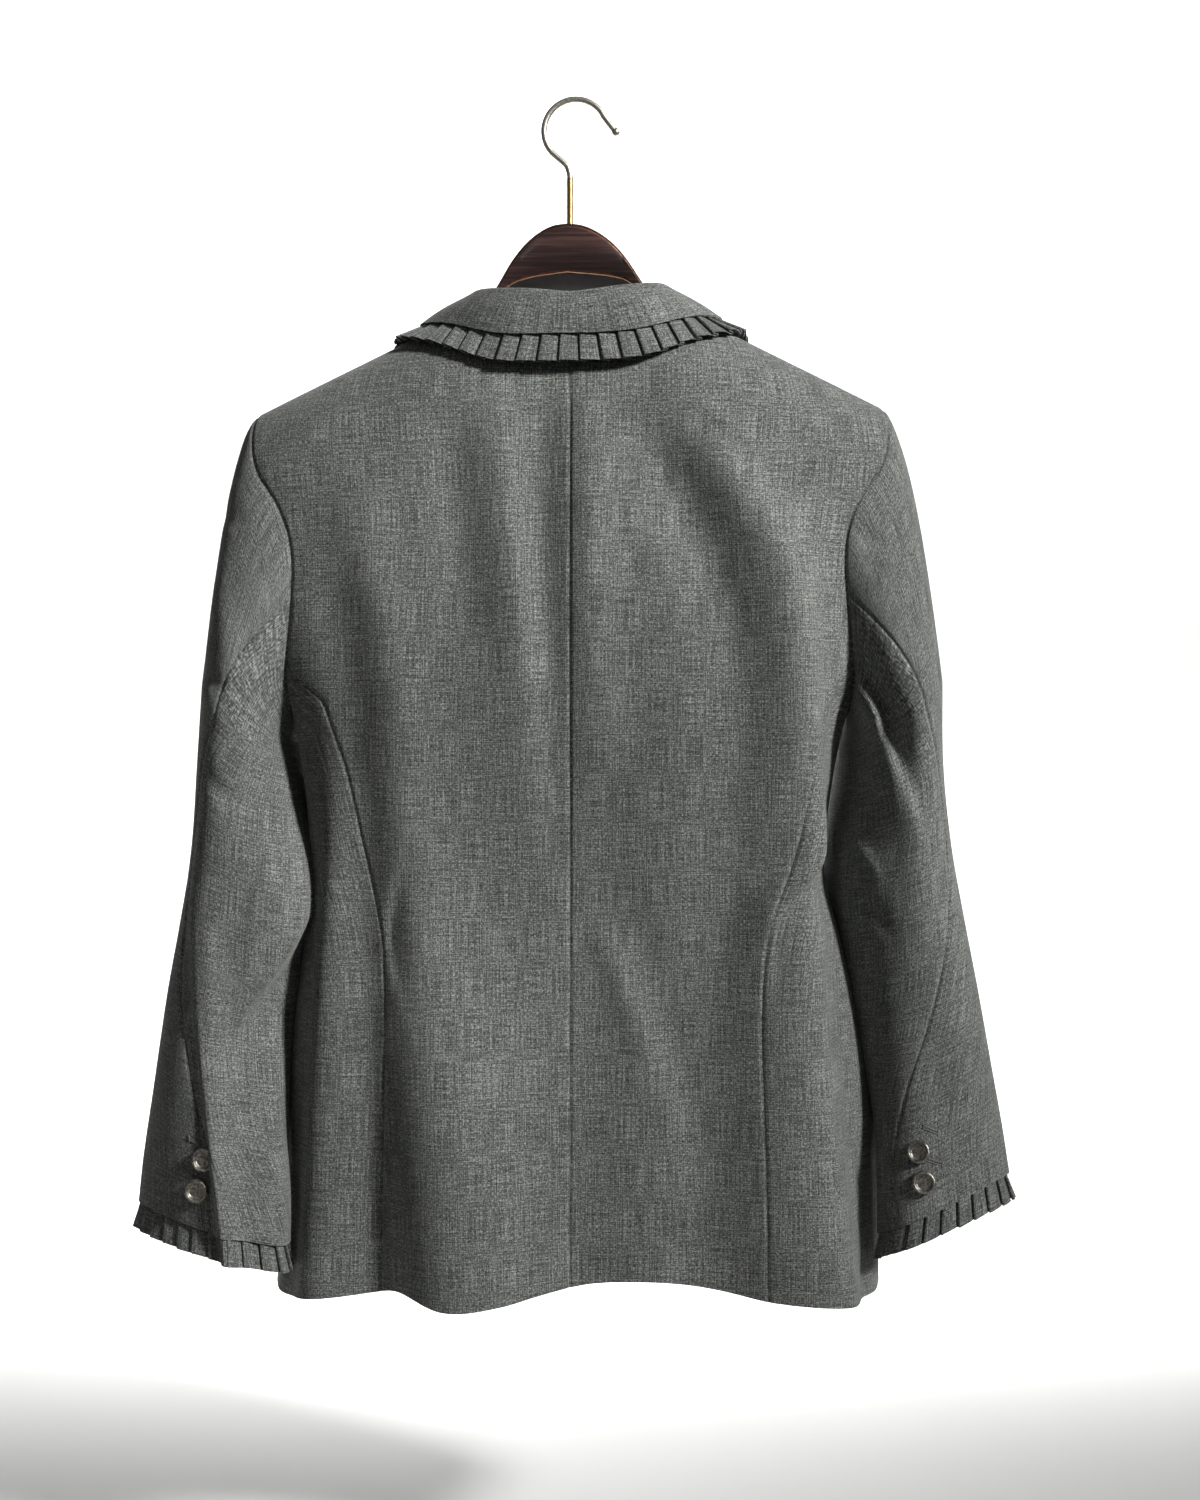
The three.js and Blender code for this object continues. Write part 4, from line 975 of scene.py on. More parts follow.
def sleeve_base(hand, down, turn):
    """Places on the sleeve: down 0 to 1 is the cap, 1 to 2 the upper arm to the cuff."""
    down, turn = np.broadcast_arrays(np.asarray(down, float), np.asarray(turn, float))
    keys = SLEEVE[hand]["z"]
    top, cuff = keys[-1], keys[0]
    ring = sleeve_ring(hand, lerp(top, cuff, np.clip(down - 1, 0, 1)), turn)
    start = armhole(hand, turn.ravel()).reshape(*turn.shape, 3)
    end = sleeve_ring(hand, np.full(turn.shape, top), turn)
    level = np.mod(turn, 360)
    reach = {name: along(CAP_REACH, name, level) for name in CAP_REACH}
    out = np.stack([hand * reach["outX"], reach["outY"], reach["outZ"]], -1)
    into = np.stack([hand * reach["inX"], 0 * level, reach["inZ"]], -1)
    t = np.clip(down, 0, 1)[..., None]
    cap = cubic(t, start, out, end, into)
    return np.where((down >= 1)[..., None], ring, cap)


def sleeve_normal(hand, down, turn):
    step = 0.001
    low = np.maximum(step, down)
    across = sleeve_base(hand, low, turn + 1) - sleeve_base(hand, low, turn - 1)
    next_down = np.minimum(2, low + 2 * step)
    length = sleeve_base(hand, next_down, turn) - sleeve_base(hand, low - step, turn)
    return unit(np.cross(across, length) * hand)


# Creases of the sleeves, seen from the back and from the front
SLEEVE_CREASES = {
    (-1, -1): creases("""
# upper layer that hangs over the lower arm and ends in a slanting edge
-168 -425 0 34 5, -169 -470 8 38 4.4, -175 -522 14 42 3.6, -184 -552 15 42 3.2, -196 -580 12 38 3,
-209 -600 6 30 3.4, -218 -620 0 20 4;
# outer half of the sleeve turned away from the light
-230 -520 0 32 10, -233 -590 4.5 38 11, -229 -660 8.5 44 12, -223 -740 9.5 46 12,
-215 -800 8.5 46 12;
-196 -470 0 8 10, -197 -510 1.6 8 12, -203 -550 1.8 8 14, -212 -600 0 8 14;
# inner edge of that layer, turned to the camera instead of round to the body
-168 -430 0 16 6, -169 -475 9 19 6, -171 -522 13 21 6, -174 -560 12.5 21 6, -178 -610 10 20 6,
-182 -670 7 18 6, -184 -790 4 16 6;
# lower arm below that edge
-192 -605 0 22 10, -190 -650 5 26 10, -189 -720 8 28 10, -187 -790 8 28 10;
-228 -640 0 6 10, -224 -668 -1.4 6 10, -220 -690 0 6 10;
# ridge along the seam of the hind arm, sharp on its outer side
-224 -430 0 5 14, -238 -490 1.6 5 14, -242 -531 2.2 5 16, -239 -580 2.6 4 18, -236 -620 3.2 4 20,
-231 -659 4.2 3.2 22, -227 -689 5.2 3 22, -224 -707 5.4 3 22, -219 -745 5 3 22,
-216 -775 4.6 3 22;
# dents behind the upper arm
x -238 -380 0 7 7, -226 -392 -1.3 7 8, -212 -396 -1 7 8, -200 -392 0 7 8;
x -236 -275 0 6 8, -222 -284 -1.4 6 8, -206 -284 0 6 8;
-226 -318 0 10 9, -222 -350 1.8 10 10, -214 -400 2 10 11, -204 -450 0 10 11;
x -240 -440 0 8 8, -226 -458 -1.4 8 8, -206 -470 -1 8 8, -190 -474 0 8 8;
"""),
    (1, -1): creases("""
# crumple under the arm
167 -350 0 6 5, 176 -368 5 8 4.5, 188 -388 8 10 4, 197 -410 8 12 4, 199 -432 0 12 4;
174 -364 0 4 8, 188 -386 -3.4 4 9, 203 -410 -4.6 5 10, 212 -440 -3 5 11, 218 -475 0 5 11;
x 165 -455 0 8 5, 172 -436 2.6 9 5, 186 -428 3.2 9 5, 198 -418 0 9 5;
# ridge along the seam of the hind arm, doubled at the elbow
196 -410 0 12 5, 206 -440 2.4 14 5, 218 -470 2.8 15 5, 226 -500 2.8 15 5, 224 -540 2 14 6,
220 -580 0 14 8;
233 -470 0 4 8, 234 -500 1.6 4 8, 232 -530 1.4 4 8, 228 -566 0 4 8;
# shoulder head dimples
x 180 -292 0 6 6, 192 -298 -1.4 6 7, 204 -302 0 6 7;
x 184 -310 0 5 6, 196 -316 -1 5 7, 206 -318 0 6 7;
# elbow creases
x 178 -488 0 5 7, 190 -500 1.8 5 8, 203 -518 0 5 8;
x 182 -520 0 6 7, 196 -536 -1.6 6 8, 212 -556 0 6 8;
172 -448 0 7 26, 178 -490 5.5 7 30, 187 -560 7 8 34, 200 -640 7 9 34, 212 -720 5 10 34,
219 -775 0 10 34;
236 -600 0 12 12, 240 -650 -1.6 12 12, 246 -710 0 12 12;
"""),
    (-1, 1): creases("""
x -234 -470 0 8 9, -216 -482 -2 8 9, -196 -486 0 8 9;
x -236 -510 0 8 9, -220 -524 -2.2 8 10, -198 -530 0 8 9;
-226 -320 0 12 12, -222 -400 2.2 12 12, -218 -470 0 12 12;
-232 -560 0 12 12, -236 -620 1.8 12 12, -240 -690 0 12 12;
"""),
    (1, 1): creases("""
x 192 -462 0 8 9, 212 -476 -2.2 8 9, 234 -480 0 8 9;
x 196 -506 0 8 9, 214 -518 -1.8 8 10, 236 -524 0 8 9;
222 -310 0 12 12, 220 -390 2.4 12 12, 216 -460 0 12 12;
234 -570 0 12 12, 240 -630 1.8 12 12, 246 -700 0 12 12;
"""),
}


def sleeve_point(hand, down, turn):
    """A place on the sleeve with its creases, and the way out of it."""
    p = sleeve_base(hand, down, turn)
    n = sleeve_normal(hand, down, turn)
    fade = smooth(down * 5)
    relief = 0
    for side in (-1, 1):
        facing = SLEEVE_RELIEF * smooth(side * n[..., 1] * FACING_GAIN + FACING_START)
        relief = relief + crease_relief(SLEEVE_CREASES[hand, side], p[..., 0], p[..., 2]) * facing
    wave = np.sin(np.radians(turn) * CAP_EASE_WAVES + hand)
    ease = CAP_EASE * wave * np.exp(-((down - CAP_EASE_AT) / CAP_EASE_WIDTH) ** 2)
    over = smooth((np.cos(np.radians(turn)) - 0.1) * 1.6)
    way = unit(n * CREASE_WAY)
    return p + way * (relief * fade)[..., None] + n * (ease * over)[..., None], n


def seam_turn(hand, down, column):
    keys = SLEEVE[hand]["z"]
    start = HIND_START if column == "seam" else FORE_START
    z = lerp(keys[-1], keys[0], np.clip(down - 1, 0, 1))
    share = smooth(down) ** (HIND_SEAM_DELAY if column == "seam" else 1)
    return lerp(start, along(SLEEVE[hand], column, z), share)


def sleeve_piece(hand, upper, cloth):
    down = 2 * spread(SLEEVE_ROWS, HEM_EDGE)
    u = spread(UPPER_COLUMNS if upper else UNDER_COLUMNS)
    hind = seam_turn(hand, down, "seam")[:, None]
    fore = seam_turn(hand, down, "foreSeam")[:, None]
    turn = lerp(fore - 360, hind, u) if upper else lerp(hind, fore, u)
    levels = np.broadcast_to(down[:, None], turn.shape)
    grid = open_seams(sleeve_point(hand, levels, turn)[0])
    shaped = grid_normals(grid, sleeve_normal(hand, levels, turn))
    outside = seam_roll(grid, shaped, ("head",))
    outside[0, :, 0] -= hand * SLEEVE_TUCK
    outside[0] -= shaped[0] * SLEEVE_SINK
    name = f"cloth_sleeve_{'upper' if upper else 'under'}_{NAMES[hand]}"
    return shell(name, outside, outside - shaped * CLOTH_WALL, cloth, grain(grid, start=17 * hand))


# Collar and trims
def station(at, column):
    """Points of a collar line, at -1 and 1 its front ends and at 0 the middle of the back."""
    right = COLLAR[column]
    left = right[1:][::-1] * [-1, 1, 1]
    rows = np.vstack([left, right])
    p = hermite(np.linspace(-1, 1, len(rows)), rows, np.asarray(at, float))
    p[..., 2] += settle(p[..., 0])
    return p


def collar(cloth):
    at = np.linspace(-1, 1, int(COLLAR_COLUMNS * FINE) + 1)
    foot, fold, edge = (station(at, column) for column in ("foot", "fold", "edge"))
    fold[:, 2] -= FOLD_DIP * np.exp(-((fold[:, 0] / FOLD_DIP_WIDTH) ** 2))
    up = unit(fold - foot)
    fall = unit(edge - fold)
    out = unit(fall - up * np.einsum("ij,ij->i", fall, up)[:, None])
    centre = fold - up * COLLAR_ROLL + out * COLLAR_ROLL
    arc = np.radians(np.linspace(0, COLLAR_BEND, COLLAR_BEND_ROWS))
    turned = [centre - out * COLLAR_ROLL * math.cos(a) + up * COLLAR_ROLL * math.sin(a) for a in arc]
    crown = turned[-1]
    lines = [lerp(foot, turned[0], t) for t in np.linspace(0, 1, COLLAR_STAND_ROWS)[:-1]]
    lines += turned
    # a slow and a quick wave along the fall
    wave = 0.7 * np.sin(at * 9 + 0.6) + 0.5 * np.sin(at * 23 + 2)
    for t in np.linspace(0, 1, COLLAR_FALL_ROWS)[1:]:
        bulge = out * (FALL_BULGE * np.sin(np.pi * min(1, t * 1.02)) * (1 + 0.25 * wave))[:, None]
        lines.append(lerp(crown, edge, t) + bulge)
    middle = np.stack(lines, axis=1)
    wall = grid_normals(middle) * COLLAR_WALL / 2
    return shell("cloth_collar", middle + wall, middle - wall, cloth, grain(middle)[..., ::-1])


def pleat_chain(count, pitch):
    """One knife pleat after another: distance along the edge, and depth under the face."""
    deep = 2 * PLEAT_LAYER * (pitch + PLEAT_RETURN) / pitch
    fall = deep / (pitch + PLEAT_RETURN)
    bend = PLEAT_LAYER / 2
    behind = PLEAT_LAYER + fall * PLEAT_RETURN
    chain = [(0, deep * 0.55)]
    for k in range(1, count + 1):
        end = k * pitch
        back = end - PLEAT_RETURN
        for share in (0.25, 0.5, 0.75):
            chain.append((lerp(end - pitch, end - bend, share), deep * (1 - share) * 0.45))
        chain.append((end - bend, 0))
        # round end of the fold, then the layers that run back under the face
        if k < count:
            chain += [
                (end - bend * 0.25, bend * 0.3),
                (end, bend),
                (end - bend * 0.3, bend * 1.7),
                (end - bend, PLEAT_LAYER),
                (back, behind),
                (back - bend, behind + bend),
                (back, deep),
            ]
    return np.array(chain)


def pleated_strip(name, edge, down_way, out_way, width, start, lift, pleat, material):
    """A pleated strip below an edge line, all given at close points along the edge."""
    run = running(edge + down_way * (start + width) / 2)
    length = run[-1]
    count = round(length / pleat)
    chain = pleat_chain(count, length / count)
    rows = np.linspace(0, 1, TRIM_ROWS)
    way = unit(np.gradient(chain, axis=0))
    sides = []
    for sign in (1, -1):
        across = np.clip(chain[:, 0] + sign * TRIM_WALL / 2 * way[:, 1], 0, length)
        deep = chain[:, 1] + TRIM_WALL / 2 - sign * TRIM_WALL / 2 * way[:, 0]
        index = np.minimum((across / length * count).astype(int), count - 1)
        swing = PLEAT_SWING * (0.5 * np.sin(index * 2.4 + 1) + 0.5 * np.sin(index * 5.1))
        place, down, out = (
            np.stack([np.interp(across, run, a[:, i]) for i in range(3)], -1)
            for a in (edge, unit(down_way), out_way)
        )
        layers = []
        for t in rows:
            reach = lerp(start, width, t) + swing * t
            rise = lerp(*lift, t) + swing * t - deep
            layers.append(place + down * reach[:, None] + out * rise[:, None])
        sides.append(np.stack(layers))
    uv = np.stack(np.broadcast_arrays(running(chain)[None, :], rows[:, None] * width), -1)
    return shell(name, *sides, material, uv)


def collar_trim(material):
    at = np.linspace(1, -1, COLLAR_TRIM_POINTS)
    edge = station(at, "edge")
    hem = station(at, "trim")
    down = unit(hem - edge)
    out = unit(np.cross(np.gradient(edge, axis=0), down))
    width = np.linalg.norm(hem - edge, axis=1)
    scaled = down * (width / width.mean())[:, None]
    lift = (COLLAR_TRIM_TUCK, COLLAR_TRIM_OUT)
    return pleated_strip("cloth_collar_trim", edge, scaled, out, width.mean(), COLLAR_TRIM_START,
                         lift, COLLAR_PLEAT, material)


def cuff_trim(hand, material):
    vent = float(seam_turn(hand, 2.0, "seam"))
    turn = np.linspace(vent + VENT_GAP_TURN, vent + 360 - VENT_GAP_TURN, CUFF_TRIM_POINTS)
    if hand < 0:
        turn = turn[::-1]
    edge, _ = sleeve_point(hand, 2.0 + 0 * turn, turn)
    down = unit(edge - sleeve_point(hand, 1.95 + 0 * turn, turn)[0])
    out = sleeve_normal(hand, 1.99, turn)
    lift = (CUFF_TRIM_TUCK, CUFF_TRIM_FLARE)
    return pleated_strip(f"cloth_cuff_trim_{NAMES[hand]}", edge, down, out, CUFF_TRIM,
                         CUFF_TRIM_START, lift, CUFF_PLEAT, material)


# Buttons: a rounded rim round a sunken, finely hammered middle
BUTTON_PROFILE = table("""
    step r h
    0 0 0
    1 0.8 0
    2 0.97 0.2
    3 1 0.5
    4 0.96 0.85
    5 0.86 1
    6 0.75 0.95
    7 0.68 0.72
    8 0.6 0.56
    9 0.4 0.54
    10 0 0.6
""")


def button(name, point, normal, radius, material):
    step = np.linspace(0, 10, int(50 * FINE) + 1)
    r = along(BUTTON_PROFILE, "r", step) * radius
    h = along(BUTTON_PROFILE, "h", step) * BUTTON_HEIGHT
    r[0] = r[-1] = 0
    a = np.linspace(0, 2 * np.pi, int(56 * FINE), endpoint=False)
    n = unit(normal)
    side = unit(np.cross((0, 0, 1), n))
    ring = np.cos(a)[:, None] * side + np.sin(a)[:, None] * np.cross(n, side)
    grid = point + n * BUTTON_LIFT + ring * r[:, None, None] + n * h[:, None, None]
    faces = ring_faces(len(step), len(a))
    piece = closed_piece(name, grid.reshape(-1, 3), faces, material, smooth_angle=60)
    bm = bmesh.new()
    bm.from_mesh(piece.data)
    bmesh.ops.remove_doubles(bm, verts=bm.verts, dist=0.00001)
    bm.to_mesh(piece.data)
    bm.free()
    return piece


def tube(points, radius, sides):
    """A closed round tube through the points: corners, quads and the triangles of its ends."""
    way = unit(np.gradient(points, axis=0))
    side = unit(np.cross(way, np.where(np.abs(way[:, 1:2]) < 0.9, [[0, 1, 0]], [[1, 0, 0]])))
    other = np.cross(way, side)
    a = np.linspace(0, 2 * np.pi, sides, endpoint=False)[:, None]
    r = np.broadcast_to(radius, len(points))[:, None, None]
    ring = points[:, None] + r * (np.cos(a) * side[:, None] + np.sin(a) * other[:, None])
    n = len(points)
    corners = np.vstack([ring.reshape(-1, 3), points[:1], points[-1:]])
    k = np.arange(sides)
    after = np.roll(k, -1)
    last = (n - 1) * sides
    first_cap = np.stack([np.full(sides, n * sides), after, k], -1)
    last_cap = np.stack([np.full(sides, n * sides + 1), last + k, last + after], -1)
    return corners, ring_faces(n, sides).tolist(), first_cap.tolist() + last_cap.tolist()


def tubes(name, lines, material, sides=8):
    corners, faces, base = [], [], 0
    for points, radius in lines:
        points, quads, caps = tube(np.asarray(points, float), radius, sides)
        corners.append(points)
        faces += [[corner + base for corner in face] for face in quads + caps]
        base += len(points)
    piece = add_mesh(name, np.vstack(corners), faces, material)
    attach(piece, "root")
    return piece


# Thread laid round a slit, with a bar across its end
def buttonhole(name, hand, down, turn, lean, turns, material):
    lines = []

    def stitch(share, across, lift, radius):
        p, n = sleeve_point(hand, down + lean * share + across, turn + turns * share)
        lines.append((p + n * lift, THREAD * radius))

    for offset in (-1, 1):
        stitch(np.linspace(-0.5, 0.5, 15), offset * HOLE_SIDE, 0.25, 1)
    for k in range(HOLE_STITCHES):
        share = np.full(4, -0.5 + (k + 0.5) / HOLE_STITCHES)
        stitch(share, np.linspace(-HOLE_STITCH, HOLE_STITCH, 4), 0.3, 0.5)
    stitch(np.full(6, -0.5), np.linspace(-HOLE_BAR, HOLE_BAR, 6), 0.4, 1.2)
    return tubes(name, lines, material)


# Hanger
HANGER_TOP = points_of("0 -82, 10 -83.2, 20 -87.6, 29.5 -94.8, 37.5 -103.8, 43 -112, "
                       "48 -120, 57 -133, 67 -142.5")
HANGER_BOTTOM = points_of("0 -115, 35.5 -119.5, 48 -129, 62 -149, 84 -170, 130 -194, 182 -219")


def hanger_profile(x):
    """Top and bottom edge of the hanger at each place along it."""
    shift = ARCH_SHIFT * (1 - smooth(np.abs(x) / ARCH_SHIFT_WITHIN))
    own = np.abs(x - shift)
    top_arch = hermite(*HANGER_TOP.T, own) + settle(x)
    arm = shoulder_height(x) - HANGER_UNDER_CLOTH
    past = np.abs(x) - ARCH_END
    top = np.where(past < 0, top_arch, lerp(top_arch, arm, smooth(past / ARCH_FADE)))
    bottom = hermite(*HANGER_BOTTOM.T, own) + settle(x)
    to_end = (np.abs(x) - (HANGER_END - HANGER_END_ROUND)) / HANGER_END_ROUND
    round_off = np.sqrt(np.clip(1 - to_end.clip(0, 1) ** 2, 0, 1))
    middle = (top + bottom) / 2
    half = (top - bottom) / 2 * round_off
    return middle + half, middle - half


def hanger(wood, bevel, under):
    x = np.sort(np.concatenate([
        np.linspace(-HANGER_END, HANGER_END, int(HANGER_COLUMNS * FINE)),
        np.linspace(-HANGER_DEEP_TO, HANGER_DEEP_TO, int(ARCH_COLUMNS * FINE)),
    ]))
    top, bottom = hanger_profile(x)
    past = (np.abs(x) - HANGER_DEEP_FROM) / (HANGER_DEEP_TO - HANGER_DEEP_FROM)
    deep = lerp(HANGER_DEEP, HANGER_HALF_THICKNESS, smooth(past))
    near = np.full_like(x, -HANGER_HALF_THICKNESS)
    sag = lerp(HANGER_SAG, 0, smooth((np.abs(x) - HANGER_SAG_TO) / HANGER_SAG_TO))
    rim = np.minimum(HANGER_RIM, (top - bottom) / 4)
    line = np.minimum(HANGER_LINE, (top - bottom) / 8)
    low = bottom - sag
    # from the near top edge over the top and round the back, depth and height
    section = [
        (near, top - rim - line),
        (near + 0.5, top - rim),
        (near + 0.9, top - rim * 0.6),
        (near + 2.0, top - rim * 0.12),
        (near + 3.6, top),
        (lerp(near, deep, 0.5), top + 0.4),
        (deep - 3.6, top),
        (deep - 2.0, top - rim * 0.12),
        (deep - 0.9, top - rim * 0.6),
        (deep, top - rim),
        (deep, lerp(top, low, 0.5)),
        (deep, low + line),
        (deep - 0.9, low + line * 0.4),
        (deep - 2.4, low),
        (lerp(near, deep, 0.55), bottom - sag * 0.6),
        (near + 1.6, bottom),
        (near + 0.5, bottom + line * 0.4),
        (near, bottom + line * 1.3),
        (near, lerp(top, bottom, 0.5)),
    ]
    grid = np.stack([np.stack([x, y, z], -1) for y, z in section], axis=1)
    rows, cols = grid.shape[:2]
    faces = ring_faces(rows, cols)
    piece = closed_piece("wood_hanger", grid.reshape(-1, 3), faces, wood, smooth_angle=35)
    piece.data.materials.append(bevel)
    piece.data.materials.append(under)
    strip = np.tile(np.arange(cols), rows - 1)
    index = np.zeros(len(strip), np.int32)
    # thin lines on the near bevels take the lighter metal of painted highlight
    index[np.isin(strip, BEVEL_HIGHLIGHT_STRIPS)] = 1
    # the underside takes the darker wood of painted shade
    index[np.isin(strip, UNDERSIDE_SHADE_STRIPS)] = 2
    piece.data.polygons.foreach_set("material_index", index)
    return piece


# Hook
def smooth_line(points, count):
    """A smooth line through the points, by even steps of their spacing."""
    p = np.asarray(points, float)
    gaps = np.sqrt(np.linalg.norm(np.diff(p, axis=0), axis=1))
    keys = np.concatenate([[0], np.cumsum(gaps)])
    return hermite(keys, p, np.linspace(0, keys[-1], count))


def hook(steel, brass):
    centre = np.array([HOOK_CENTRE_X, 0, HOOK_WIRE - HOOK_RADIUS])
    turn = np.radians(np.linspace(HOOK_JOIN_TURN, HOOK_TIP_TURN, 14))
    arc = centre + HOOK_RADIUS * np.stack([np.cos(turn), 0 * turn, np.sin(turn)], -1)
    tip = np.array([HOOK_TIP_X, 0, centre[2] - 0.4])
    bend = [[HOOK_SHAFT_X, 0, SHAFT_TOP - 2], [HOOK_SHAFT_X - 0.2, 0, SHAFT_TOP + 3],
            [HOOK_NECK_X, 0, HOOK_NECK_Z]]
    wire = smooth_line(np.vstack([bend, arc, tip[None, :]]), int(HOOK_RINGS * FINE))
    run = np.linspace(0, 1, len(wire))
    ridge = 1 + HOOK_RIDGE * np.sin(run * 2 * np.pi * HOOK_RIDGES)
    crook = tubes("metal_hook", [(wire, HOOK_WIRE * ridge)], steel, 20)
    bpy.ops.mesh.primitive_uv_sphere_add(
        segments=32, ring_count=20, radius=HOOK_BALL * MM, location=tip * MM
    )
    ball = bpy.context.active_object
    ball.name = "metal_hook_ball"
    ball.data.materials.append(steel)
    ball.data.shade_smooth()
    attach(ball, "root")
    shaft_line = np.stack([np.full(40, HOOK_SHAFT_X), np.zeros(40),
                           np.linspace(ARCH_TOP - 2, SHAFT_TOP, 40)], -1)
    shaft = tubes("metal_shaft", [(shaft_line, HOOK_WIRE + 0.1)], brass, 24)
    return [crook, ball, shaft]


# Materials
def nodes_of(name):
    material = bpy.data.materials.new(name)
    material.use_nodes = True
    tree = material.node_tree
    shader = next(n for n in tree.nodes if n.type == "BSDF_PRINCIPLED")
    return material, tree, shader


def set_values(shader, values):
    for name, value in values.items():
        shader.inputs[name].default_value = value


def noise(tree, place, scales, detail=1.0, rough=0.5):
    mapping = tree.nodes.new("ShaderNodeMapping")
    mapping.inputs["Scale"].default_value = scales
    tree.links.new(place, mapping.inputs["Vector"])
    texture = tree.nodes.new("ShaderNodeTexNoise")
    texture.inputs["Scale"].default_value = 1
    texture.inputs["Detail"].default_value = detail
    texture.inputs["Roughness"].default_value = rough
    tree.links.new(mapping.outputs["Vector"], texture.inputs["Vector"])
    return texture.outputs["Fac"]


def ramp(tree, value, stops):
    node = tree.nodes.new("ShaderNodeValToRGB")
    elements = node.color_ramp.elements
    for i, (at, colour) in enumerate(stops):
        element = elements[i] if i < 2 else elements.new(at)
        element.position = at
        element.color = (*colour, 1)
    tree.links.new(value, node.inputs["Fac"])
    return node.outputs["Color"]


def calculate(tree, kind, a, b):
    node = tree.nodes.new("ShaderNodeMath")
    node.operation = kind
    for socket, value in zip(node.inputs, (a, b)):
        if isinstance(value, (int, float)):
            socket.default_value = value
        else:
            tree.links.new(value, socket)
    return node.outputs["Value"]


def bump(tree, shader, value, depth, strength):
    node = tree.nodes.new("ShaderNodeBump")
    node.inputs["Strength"].default_value = strength
    node.inputs["Distance"].default_value = depth
    tree.links.new(value, node.inputs["Height"])
    tree.links.new(node.outputs["Normal"], shader.inputs["Normal"])


def wool(name, dark, middle, light):
    """Fine plain weave of light and dark threads, with faint streaks both ways."""
    material, tree, shader = nodes_of(name)
    uv = tree.nodes.new("ShaderNodeUVMap")
    uv.uv_map = "Grain"
    total = None
    for across, down, detail, weight in WEAVE:
        value = noise(tree, uv.outputs["UV"], (across, down, 1), detail)
        value = calculate(tree, "MULTIPLY", value, weight)
        total = value if total is None else calculate(tree, "ADD", total, value)
    scaled = calculate(tree, "MULTIPLY", total, WEAVE_SCALE)
    low, half, high = WEAVE_RAMP
    colour = ramp(tree, scaled, [(low, dark), (high, light), (half, middle)])
    tree.links.new(colour, shader.inputs["Base Color"])
    set_values(shader, {
        "Roughness": 0.88,
        "Specular IOR Level": 0.25,
        "Sheen Weight": 0.18,
        "Sheen Roughness": 0.55,
        "Sheen Tint": (0.75, 0.76, 0.72, 1),
    })
    bump(tree, shader, scaled, 0.0011, 0.5)
    return material


def lacquered(name):
    """Dark wood under a gloss, with the grain along the hanger."""
    material, tree, shader = nodes_of(name)
    place = tree.nodes.new("ShaderNodeTexCoord").outputs["Object"]
    streak = noise(tree, place, (18, 60, 620), 5.0, 0.65)
    band = noise(tree, place, (7, 20, 90), 2.0, 0.5)
    total = calculate(tree, "ADD", streak, calculate(tree, "MULTIPLY", band, 0.6))
    scaled = calculate(tree, "MULTIPLY", total, 0.62)
    colour = ramp(tree, scaled, [(0.36, WOOD_DARK), (0.62, WOOD_LIGHT), (0.5, WOOD_MIDDLE)])
    tree.links.new(colour, shader.inputs["Base Color"])
    set_values(shader, {"Roughness": 0.32, "Coat Weight": 0.35, "Coat Roughness": 0.12})
    bump(tree, shader, streak, 0.0003, 0.4)
    return material


def mottled(name, scales, detail, rough, stops, values, bumps=None):
    """One noise in the object's own frame gives the colour, and the bumps where they are asked."""
    material, tree, shader = nodes_of(name)
    place = tree.nodes.new("ShaderNodeTexCoord").outputs["Object"]
    value = noise(tree, place, scales, detail, rough)
    tree.links.new(ramp(tree, value, stops), shader.inputs["Base Color"])
    set_values(shader, values)
    if bumps:
        bump(tree, shader, value, *bumps)
    return material


def polished(name, dark, light, roughness, scales):
    values = {"Metallic": 1, "Roughness": roughness}
    stops = [(0.35, dark), (0.65, light)]
    return mottled(name, scales, 3, 0.6, stops, values, (0.0004, 0.35))


def sewing_thread(name, dark, light):
    return mottled(name, (3000,) * 3, 1, 0.5, [(0.4, dark), (0.6, light)], {"Roughness": 0.7})


def plain(name, dark, light):
    return mottled(name, (2,) * 3, 2, 0.5, [(0.3, dark), (0.7, light)], {"Roughness": 0.9})


# Stage, light and camera
def stage(material):
    bend = np.linspace(0, np.pi / 2, 24)
    line = [(STAGE_NEAR, FLOOR)]
    line += [(WALL_AT - SWEEP + SWEEP * math.sin(a), FLOOR + SWEEP - SWEEP * math.cos(a))
             for a in bend]
    line.append((WALL_AT, STAGE_HIGH))
    points = np.array([[x, y, z] for y, z in line for x in (-STAGE_WIDE, STAGE_WIDE)]) / MM
    faces = [[2 * i, 2 * i + 1, 2 * i + 3, 2 * i + 2] for i in range(len(line) - 1)]
    add_mesh("stage", points, faces, material)


def spot_light(name, aim, turn, rise, far, radius, cone, blend, power):
    """A soft spot from a turn to the right of the camera's side and a rise above level."""
    data = bpy.data.lights.new(name, "SPOT")
    data.energy = power
    data.spot_size = math.radians(cone)
    data.spot_blend = blend
    data.shadow_soft_size = radius
    lamp = bpy.data.objects.new(name, data)
    a, b = math.radians(turn), math.radians(rise)
    way = Vector((math.sin(a) * math.cos(b), -math.cos(a) * math.cos(b), math.sin(b)))
    lamp.location = Vector(aim) + way * far
    lamp.rotation_euler = way.to_track_quat("Z", "Y").to_euler()
    bpy.context.scene.collection.objects.link(lamp)


def light_scene():
    world = bpy.data.worlds.new("studio")
    world.use_nodes = True
    sky = world.node_tree.nodes["Background"]
    sky.inputs["Color"].default_value = (1, 1, 1, 1)
    sky.inputs["Strength"].default_value = WORLD_LIGHT
    bpy.context.scene.world = world
    for light in LIGHTS:
        spot_light(*light)


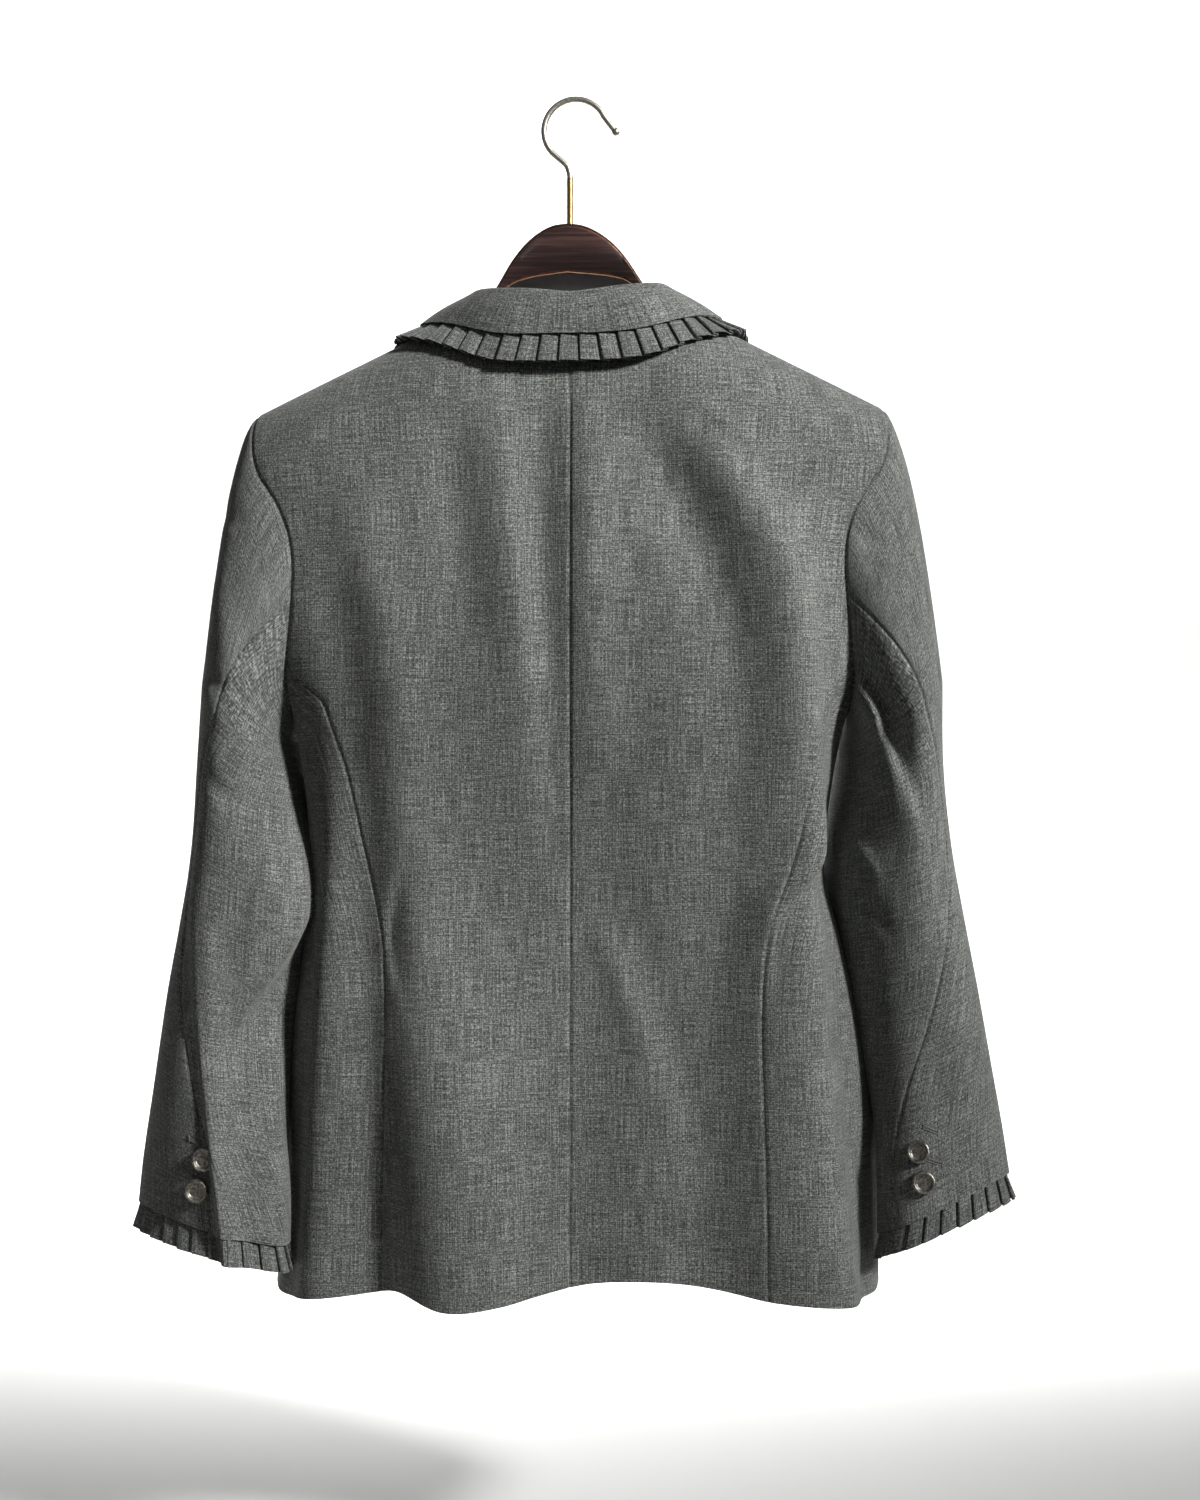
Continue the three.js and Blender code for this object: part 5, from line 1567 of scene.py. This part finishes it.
def add_camera():
    data = bpy.data.cameras.new("camera")
    data.sensor_fit = "AUTO"
    data.sensor_width = SENSOR
    data.lens = LENS
    data.clip_start = 0.05
    camera = bpy.data.objects.new("camera", data)
    camera.location = CAMERA_AT
    camera.rotation_euler = (math.radians(90), 0, 0)
    bpy.context.scene.collection.objects.link(camera)
    bpy.context.scene.camera = camera


def cloth_piece(piece, node):
    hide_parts(node)


def hard_piece(piece, node):
    if node:
        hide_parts(node)


def build():
    cloth = wool("wool", *WOOL)
    trim_cloth = wool("trim_wool", *TRIM_WOOL)
    wood = lacquered("lacquered_wood")
    # darker wood as painted shade on the hanger's underside
    under = plain("painted_shade_underside", *UNDERSIDE_SHADE_WOOD)
    # lighter copper-coloured metal as painted highlight on the hanger's bevels
    bevel = polished("painted_highlight_bevel", *BEVEL_HIGHLIGHT)
    steel = polished("hook_nickel", *NICKEL)
    brass = polished("hook_brass", *BRASS)
    button_metal = polished("gunmetal", *GUNMETAL)
    thread = sewing_thread("buttonhole_thread", *HOLE_THREAD)
    pale = plain("pale_floor", *PALE)

    for hand in (-1, 1):
        side = NAMES[hand]
        pieces = {
            "back": back_panel(hand, cloth),
            "side": side_panel(hand, cloth),
            "front": front_panel(hand, cloth),
            "lapel": lapel(hand, cloth),
            "sleeve_upper": sleeve_piece(hand, True, cloth),
            "sleeve_under": sleeve_piece(hand, False, cloth),
        }
        for name, piece in pieces.items():
            cloth_piece(piece, f"{name}_{side}")
        trim = cuff_trim(hand, trim_cloth)
        cloth_piece(trim, f"cuff_trim_{side}")
    cloth_piece(collar(cloth), "collar")
    cloth_piece(collar_trim(trim_cloth), "collar_trim")

    for hand, name, down, turn in CUFF_BUTTONS:
        point, _ = sleeve_point(hand, down, turn)
        normal = sleeve_normal(hand, down, turn)
        node = f"cuff_button_{NAMES[hand]}_{name}"
        piece = button(f"metal_{node}", point, normal, CUFF_BUTTON_RADIUS, button_metal)
        hard_piece(piece, node)
    for i, z in enumerate(FRONT_BUTTON_HEIGHTS):
        point = np.array([0, float(body_y(0.0, z, 1)), z])
        normal = body_normal(point, 1)
        node = f"front_button_{i + 1}"
        piece = button(f"metal_{node}", point, normal, FRONT_BUTTON_RADIUS, button_metal)
        hard_piece(piece, node)
    for i, hole in enumerate(CUFF_HOLES):
        hard_piece(buttonhole(f"thread_buttonhole_{i + 1}", *hole, thread), None)

    hard_piece(hanger(wood, bevel, under), "hanger_body")
    for piece in hook(steel, brass):
        hard_piece(piece, "hanger_hook")

    stage(pale)
    light_scene()
    add_camera()


bpy.context.scene.view_settings.view_transform = "Standard"
build()
